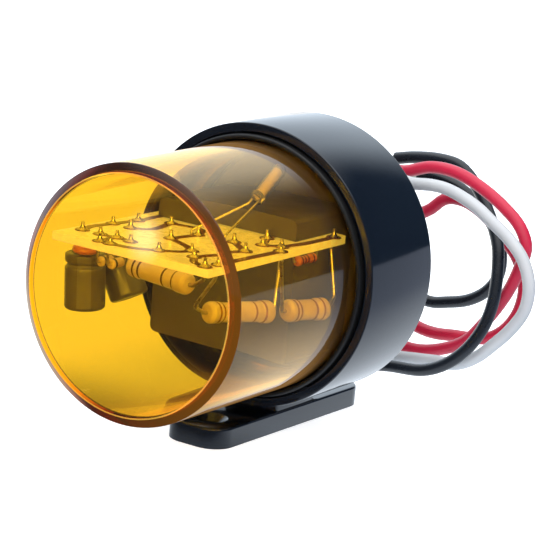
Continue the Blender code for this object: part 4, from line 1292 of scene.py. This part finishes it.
def make_capacitor(name, top, direction, diameter, length):
    """The turned can with its crimped neck, then a finish for each of its faces."""
    radius = diameter / 2
    bare = radius - SLEEVE_MARGIN
    profile = [(0, 0), (bare, 0), (bare + 0.2 * MM, CAN_DISH)]
    profile += arc(radius - TOP_ROUND, TOP_ROUND, TOP_ROUND, -90, 0, 6)
    profile += [(radius - CRIMP_DEPTH * math.sin(math.pi * i / 8) ** 2, CRIMP_START + CRIMP_LENGTH * i / 8)
                for i in range(9)]
    profile += arc(radius - CAN_ROUND, length - CAN_ROUND, CAN_ROUND, 0, 90, 8)
    profile += [(bare - 0.3 * MM, length), (bare - 0.5 * MM, length - CAN_DISH), (0, length - CAN_DISH)]
    shape = bmesh.new()
    spin_into(shape, dense(profile, 0.6 * MM), axis_turn(top, direction), 72)
    for face in shape.faces:
        spoke = face.calc_center_median() - top
        along = spoke.dot(direction)
        spoke -= direction * along
        if spoke.length < bare:
            face.material_index = 2 if along < length / 2 else 1
        elif (STRIPE_MARGIN < along < length - STRIPE_MARGIN
              and spoke.normalized().dot(STRIPE_SIDE) > STRIPE_SPREAD):
            face.material_index = 3
    link_mesh(name + "_can", shape, (SLEEVE, ALUMINIUM, BUNG, SLEEVE_STRIPE), replaced=(name,),
              slot="capacitor_sleeve")


def make_capacitor_legs():
    """Two legs for each can, from its bung to the board."""
    number = 1
    for top, lean, _, _, ends in CAPACITORS.values():
        direction = leaning(lean)
        across = Vector((-direction.z, 0, direction.x))
        for side, end in zip((-HALF_LEG_SPACING, HALF_LEG_SPACING), ends):
            foot = under_board(*top) + across * side
            end = under_board(*end)
            points = [foot, foot - direction * LEG_STRAIGHT, end - Vector((0, 0, LEG_TOP)), end]
            bent_lead("capacitor_lead_%d" % number, points, LEAD_DIAMETER)
            number += 1


for capacitor, (top, lean, diameter, length, _) in CAPACITORS.items():
    make_capacitor(capacitor, under_board(*top), leaning(lean), diameter, length)
make_capacitor_legs()

# %% Disc
DISC_DIAMETER = 5.0 * MM
DISC_THICKNESS = 1.5 * MM
DISC_PLACE = (-13.6, 4.9, 0.35)


def make_disc():
    """A dipped disc with a full round edge, flat against the board."""
    radius, half = DISC_DIAMETER / 2, DISC_THICKNESS / 2
    profile = [(0, 0)] + arc(radius - half, half, half, -90, 90, 12) + [(0, 2 * half)]
    spun("disc_capacitor_body", profile, ORANGE_DIP, under_board(*DISC_PLACE), (0, 0, -1), 64,
         replaced=("disc_capacitor",), slot="disc_ceramic")


make_disc()

# %% [markdown]
# ## Diodes and the small resistor
# These lie along the board, with thin leads that leave each end and turn straight up into it.

# %% Diodes
DIODE_DIAMETER = 2.0 * MM
DIODE_LENGTH = 3.6 * MM
DIODE_EDGE = 0.4 * MM
DIODE_BAND = (0.6 * MM, 1.2 * MM, 1)
DIODE_DEPTH = 3.8
DIODE_DROP = 2.5
DIODES = {"diode_left": -9.1, "diode_right": -6.6}


def hooked_lead(node, foot, outward):
    """A thin lead that goes out of a body's end and turns up into the board."""
    corner = foot + outward
    bent_lead(node, [foot, corner, Vector((corner.x, corner.y, under_board(0, 0).z))],
              THIN_LEAD_DIAMETER)


def hooked_pair(names, start, length):
    """One thin lead at each end of a body that lies from front to rear."""
    hooked_lead(names[0], start, Vector((0, -LEAD_STRAIGHT, 0)))
    hooked_lead(names[1], start + Vector((0, length, 0)), Vector((0, LEAD_STRAIGHT, 0)))


def make_diodes():
    """Two short glass beads side by side, each with one dark band."""
    radius, edge = DIODE_DIAMETER / 2, DIODE_EDGE
    profile = [(0, 0)] + arc(radius - edge, edge, edge, -90, 0, 6)
    profile += arc(radius - edge, DIODE_LENGTH - edge, edge, 0, 90, 6) + [(0, DIODE_LENGTH)]
    for i, (name, x) in enumerate(DIODES.items()):
        start = under_board(x, DIODE_DEPTH, DIODE_DROP)
        banded_body(name, profile, (DIODE_GLASS, DARK_BAND), start, (0, 1, 0), [DIODE_BAND],
                    "diode_glass", 40)
        hooked_pair(["diode_lead_%d" % number for number in (2 * i + 1, 2 * i + 2)], start, DIODE_LENGTH)


make_diodes()

# %% Small resistor
SMALL_RESISTOR_PLACE = (16.2, 31.0, 1.5)
SMALL_RESISTOR_LENGTH = 6.3 * MM
SMALL_CAP_RADIUS = 0.95 * MM
SMALL_BODY_RADIUS = SMALL_CAP_RADIUS - 0.15 * MM
SMALL_CAP_LENGTH = 1.3 * MM
SMALL_EDGE = 0.45 * MM
SMALL_BANDS = (1.0 * MM, 2.2 * MM, 3.2 * MM, 4.9 * MM)
SMALL_BAND_WIDTH = 0.45 * MM


def make_small_resistor():
    """The same outline as the power resistors, at well under half their size."""
    start = under_board(*SMALL_RESISTOR_PLACE)
    profile = dog_bone(SMALL_RESISTOR_LENGTH, SMALL_CAP_RADIUS, SMALL_BODY_RADIUS, SMALL_CAP_LENGTH,
                       THIN_LEAD_DIAMETER, SMALL_EDGE)
    bands = [(band, band + SMALL_BAND_WIDTH, 1) for band in SMALL_BANDS]
    banded_body("small_resistor", profile, (ORANGE_DIP, BROWN_BAND), start, (0, 1, 0), bands,
                "disc_ceramic", 40)
    hooked_pair(("small_resistor_lead_1", "small_resistor_lead_2"), start, SMALL_RESISTOR_LENGTH)


make_small_resistor()

# %% [markdown]
# ## Lamp
# A small glass tube with a round end stands on two long leads and leans back above the board. The
# glass is a real thin wall, with an ivory core inside it, so both show.

# %% Lamp
LAMP_DIAMETER = 3.0 * MM
LAMP_LENGTH = 10.0 * MM
LAMP_WALL = 0.25 * MM
LAMP_FLOOR = 1.2 * MM
LAMP_CORE_FROM = 1.3 * MM
LAMP_CORE_TO = 8.3 * MM
LAMP_CORE_ROUND = 0.3 * MM
LAMP_FEET = ((-0.8 * MM, (-2.6, 24.8)), (0.8 * MM, (5.2, 22.0)))
LAMP_BASE = place(5.0 * MM, 32.2 * MM, 15.2 * MM)
LAMP_DIRECTION = Vector((0.03, 0.83, 0.55)).normalized()


def make_lamp():
    """The tube's outside and inside in one mesh, its core, and two bent leads."""
    radius = LAMP_DIAMETER / 2
    round_foot = radius / 4
    inside = radius - LAMP_WALL
    outer = [(0, 0), (radius * 0.7, 0)] + arc(radius - round_foot, round_foot, round_foot, -80, 0, 5)
    outer += arc(0, LAMP_LENGTH - radius, radius, 0, 90, 12)
    inner = arc(0, LAMP_LENGTH - radius, inside, 90, 0, 12) + [(inside, LAMP_FLOOR), (0, LAMP_FLOOR)]
    shape = bmesh.new()
    turn = axis_turn(LAMP_BASE, LAMP_DIRECTION)
    spin_into(shape, outer, turn, 48)
    verts = spin_into(shape, inner, turn, 48)
    bmesh.ops.reverse_faces(shape, faces=list({f for v in verts for f in v.link_faces}))
    link_mesh("lamp_envelope", shape, LAMP_GLASS, replaced=("lamp",), slot="lamp_glass")
    edge = LAMP_CORE_ROUND
    core = inside - LAMP_WALL - edge
    profile = [(0, LAMP_CORE_FROM)] + arc(core, LAMP_CORE_FROM + edge, edge, -90, 0, 4)
    profile += arc(core, LAMP_CORE_TO - edge, edge, 0, 90, 4) + [(0, LAMP_CORE_TO)]
    spun("lamp_core", profile, LAMP_CORE, LAMP_BASE, LAMP_DIRECTION, 40)
    for number, (side, foot) in enumerate(LAMP_FEET, 1):
        start = LAMP_BASE + Vector((side, 0, 0))
        knee = start - LAMP_DIRECTION * (LEAD_STRAIGHT + GAP)
        end = on_board(*foot)
        bent_lead("lamp_lead_%d" % number, [start, knee, end + Vector((0, 0, LEAD_STRAIGHT)), end],
                  THIN_LEAD_DIAMETER)


make_lamp()

# %% [markdown]
# ## Studio
# The light stands on a white table lit from behind. The camera sees plain white, but mirrored in
# the plastics are a bright table behind and beside the light, a bright panel at the back left, a
# dark space at the back right and a dark foreground. They give the collar its pale top, its dark
# middle that ends at the horizon, and its pale lower side.

# %% Table
FLOOR_SIZE = 40.0
TABLE_GLOW = (1.0, 1.1, 1.22, 1)
TABLE_GLOW_LEFT = (1.42, 1.44, 1.46, 1)
TABLE_GLOW_RIGHT = (0.48, 0.55, 0.7, 1)
TABLE_GLOW_FRONT = (0.07, 0.07, 0.08, 1)
TABLE_GLOW_SEEN = (0.72, 0.73, 0.74, 1)
# Where one glow eases into the next: from front to back, from the left, and towards the right.
FRONT_TO_BACK = (-37 * MM, 12 * MM)
FROM_LEFT = (-60 * MM, -20 * MM)
TO_RIGHT = (20 * MM, 90 * MM)


def empty_material(name):
    material = bpy.data.materials.new(name)
    material.use_nodes = True
    material.node_tree.nodes.clear()
    return material, material.node_tree


def make_floor():
    """White paper that also glows, so that it has no horizon and takes only a faint shadow."""
    shape = bmesh.new()
    bmesh.ops.create_grid(shape, x_segments=1, y_segments=1, size=FLOOR_SIZE / 2)
    floor = mesh_object("floor", shape)
    material, tree = empty_material("white_table")
    behind = mix_colours(tree, towards(tree, (1, 0, 0), *FROM_LEFT), TABLE_GLOW_LEFT, TABLE_GLOW)
    behind = mix_colours(tree, towards(tree, (1, 0, 0), *TO_RIGHT), behind, TABLE_GLOW_RIGHT)
    glow = mix_colours(tree, towards(tree, (0, 1, 0), *FRONT_TO_BACK), TABLE_GLOW_FRONT, behind)
    path = add_node(tree, "ShaderNodeLightPath")
    seen = mix_colours(tree, path.outputs["Is Camera Ray"], glow, TABLE_GLOW_SEEN)
    emission = add_node(tree, "ShaderNodeEmission", inputs={"Color": seen, "Strength": 1.0})
    paper = add_node(tree, "ShaderNodeBsdfDiffuse", inputs={"Color": linear("#F4F5F7")})
    weight = add_node(tree, "ShaderNodeMixShader", inputs={"Fac": path.outputs["Is Camera Ray"],
                                                           2: paper.outputs[0]})
    both = add_node(tree, "ShaderNodeAddShader", inputs={0: emission.outputs[0], 1: weight.outputs[0]})
    add_node(tree, "ShaderNodeOutputMaterial", inputs={"Surface": both.outputs[0]})
    floor.data.materials.append(material)
    print("table: %.0f m wide" % FLOOR_SIZE)


make_floor()

# %% [markdown]
# ## Light by direction
# The world's colour depends on where a ray goes. The key light at the front right is a special
# case: it brightens what is dull and what the lens lets through, but no gloss mirrors it, as when a
# photographer keeps a lamp out of the reflections.

# %% Panel, dark space and key light
PANEL_GLOW = (1.15, 1.32, 1.5, 1)
DARK_SPACE = (0.03, 0.055, 0.1, 1)
FRONT_GLOW = (0.16, 0.17, 0.19, 1)
ZENITH_GLOW = (1.7, 1.75, 1.8, 1)
PANEL_DIRECTION = (-0.94, 0.34, 0.0)
PANEL_EDGE = (0.1, 0.5)
ZENITH_EDGE = (0.55, 0.9)
FRONT_EDGE = (-0.35, 0.1)
KEY_GLOW = (6.5, 6.5, 6.6, 1)
SOFT_KEY_GLOW = (2.6, 2.6, 2.65, 1)
KEY_DIRECTION = Vector((0.62, -0.77, 0.15)).normalized()
KEY_EDGE = (0.6, 0.8)


def make_world():
    """Light by direction: bright at the back left and above, dark at the back right."""
    world = bpy.data.worlds.new("studio")
    bpy.context.scene.world = world
    world.use_nodes = True
    tree = world.node_tree
    tree.nodes.clear()
    coordinates = add_node(tree, "ShaderNodeTexCoord")

    def facing(direction, edge):
        """0 to 1 as a ray turns towards a direction."""
        along = add_node(tree, "ShaderNodeVectorMath", {"operation": "DOT_PRODUCT"},
                         {0: coordinates.outputs["Generated"], 1: direction})
        return smooth_step(tree, along.outputs["Value"], *edge)

    sides = mix_colours(tree, facing(PANEL_DIRECTION, PANEL_EDGE), DARK_SPACE, PANEL_GLOW)
    ahead = mix_colours(tree, facing((0, 1, 0), FRONT_EDGE), FRONT_GLOW, sides)
    sky = mix_colours(tree, facing((0, 0, 1), ZENITH_EDGE), ahead, ZENITH_GLOW)
    key = facing(KEY_DIRECTION, KEY_EDGE)
    path = add_node(tree, "ShaderNodeLightPath")
    for ray, key_glow in (("Is Diffuse Ray", SOFT_KEY_GLOW), ("Is Transmission Ray", KEY_GLOW)):
        share = add_node(tree, "ShaderNodeMath", {"operation": "MULTIPLY"}, {0: key, 1: path.outputs[ray]})
        sky = mix_colours(tree, share.outputs["Value"], sky, key_glow)
    light = add_node(tree, "ShaderNodeBackground", inputs={"Color": sky, "Strength": 1.0})
    plain = add_node(tree, "ShaderNodeBackground", inputs={"Color": (1, 1, 1, 1), "Strength": 1.0})
    mix = add_node(tree, "ShaderNodeMixShader", inputs={"Fac": path.outputs["Is Camera Ray"],
                                                        1: light.outputs[0], 2: plain.outputs[0]})
    add_node(tree, "ShaderNodeOutputWorld", inputs={"Surface": mix.outputs[0]})
    print("world: %d nodes" % len(tree.nodes))


make_world()

# %% [markdown]
# ## Soft card
# The window mirrors a soft pale spot. A small glowing card makes it, set where the window's mirror
# image of the camera looks, with a glow that fades out to its edge.

# %% Soft card
CARD_DISTANCE = 60 * MM
CARD_SIZE = (14 * MM, 19 * MM)
CARD_GLOW = 4.4
CARD_FADE = (1.0, 0.15)
SPOT_ON_WINDOW = (4.0 * MM, 13.7 * MM)


def make_card():
    """A small soft light at the front left, seen only as the pale spot that the window mirrors."""
    spot = place(SPOT_ON_WINDOW[0], 0, SPOT_ON_WINDOW[1])
    seen = (spot - CAMERA_PLACE).normalized()
    mirrored = Vector((seen.x, -seen.y, seen.z))
    shape = bmesh.new()
    bmesh.ops.create_grid(shape, x_segments=1, y_segments=1, size=1.0)
    bmesh.ops.scale(shape, vec=(CARD_SIZE[0] / 2, CARD_SIZE[1] / 2, 1), verts=shape.verts)
    card = mesh_object("soft_card", shape)
    card.rotation_mode = "QUATERNION"
    card.rotation_quaternion = (-mirrored).to_track_quat("Z", "Y")
    card.location = spot + mirrored * CARD_DISTANCE
    card.visible_camera = card.visible_diffuse = card.visible_transmission = card.visible_shadow = False
    material, tree = empty_material("soft_card_light")
    where = object_coordinates(tree, (2 / CARD_SIZE[0], 2 / CARD_SIZE[1], 1))
    reach = add_node(tree, "ShaderNodeVectorMath", {"operation": "LENGTH"}, {0: where})
    fade = smooth_step(tree, reach.outputs["Value"], *CARD_FADE)
    glow = mix_colours(tree, fade, NO_GLOW, (CARD_GLOW, CARD_GLOW, CARD_GLOW, 1))
    emission = add_node(tree, "ShaderNodeEmission", inputs={"Color": glow, "Strength": 1.0})
    clear = add_node(tree, "ShaderNodeBsdfTransparent")
    mix = add_node(tree, "ShaderNodeMixShader", inputs={"Fac": fade, 1: clear.outputs[0],
                                                        2: emission.outputs[0]})
    add_node(tree, "ShaderNodeOutputMaterial", inputs={"Surface": mix.outputs[0]})
    card.data.materials.append(material)
    print("card: %.0f mm in front of the window" % (CARD_DISTANCE / MM))


make_card()

# %% [markdown]
# ## Colour and light depth
# White has to stay white, so colours are shown as they are. Light that passes right through the
# lens meets four surfaces and whatever is inside, so it needs more bounces than the usual few.

# %% View and bounces
LIGHT_BOUNCES = 16
scene = bpy.context.scene
scene.view_settings.view_transform = "Standard"
scene.cycles.max_bounces = LIGHT_BOUNCES
scene.cycles.transmission_bounces = LIGHT_BOUNCES
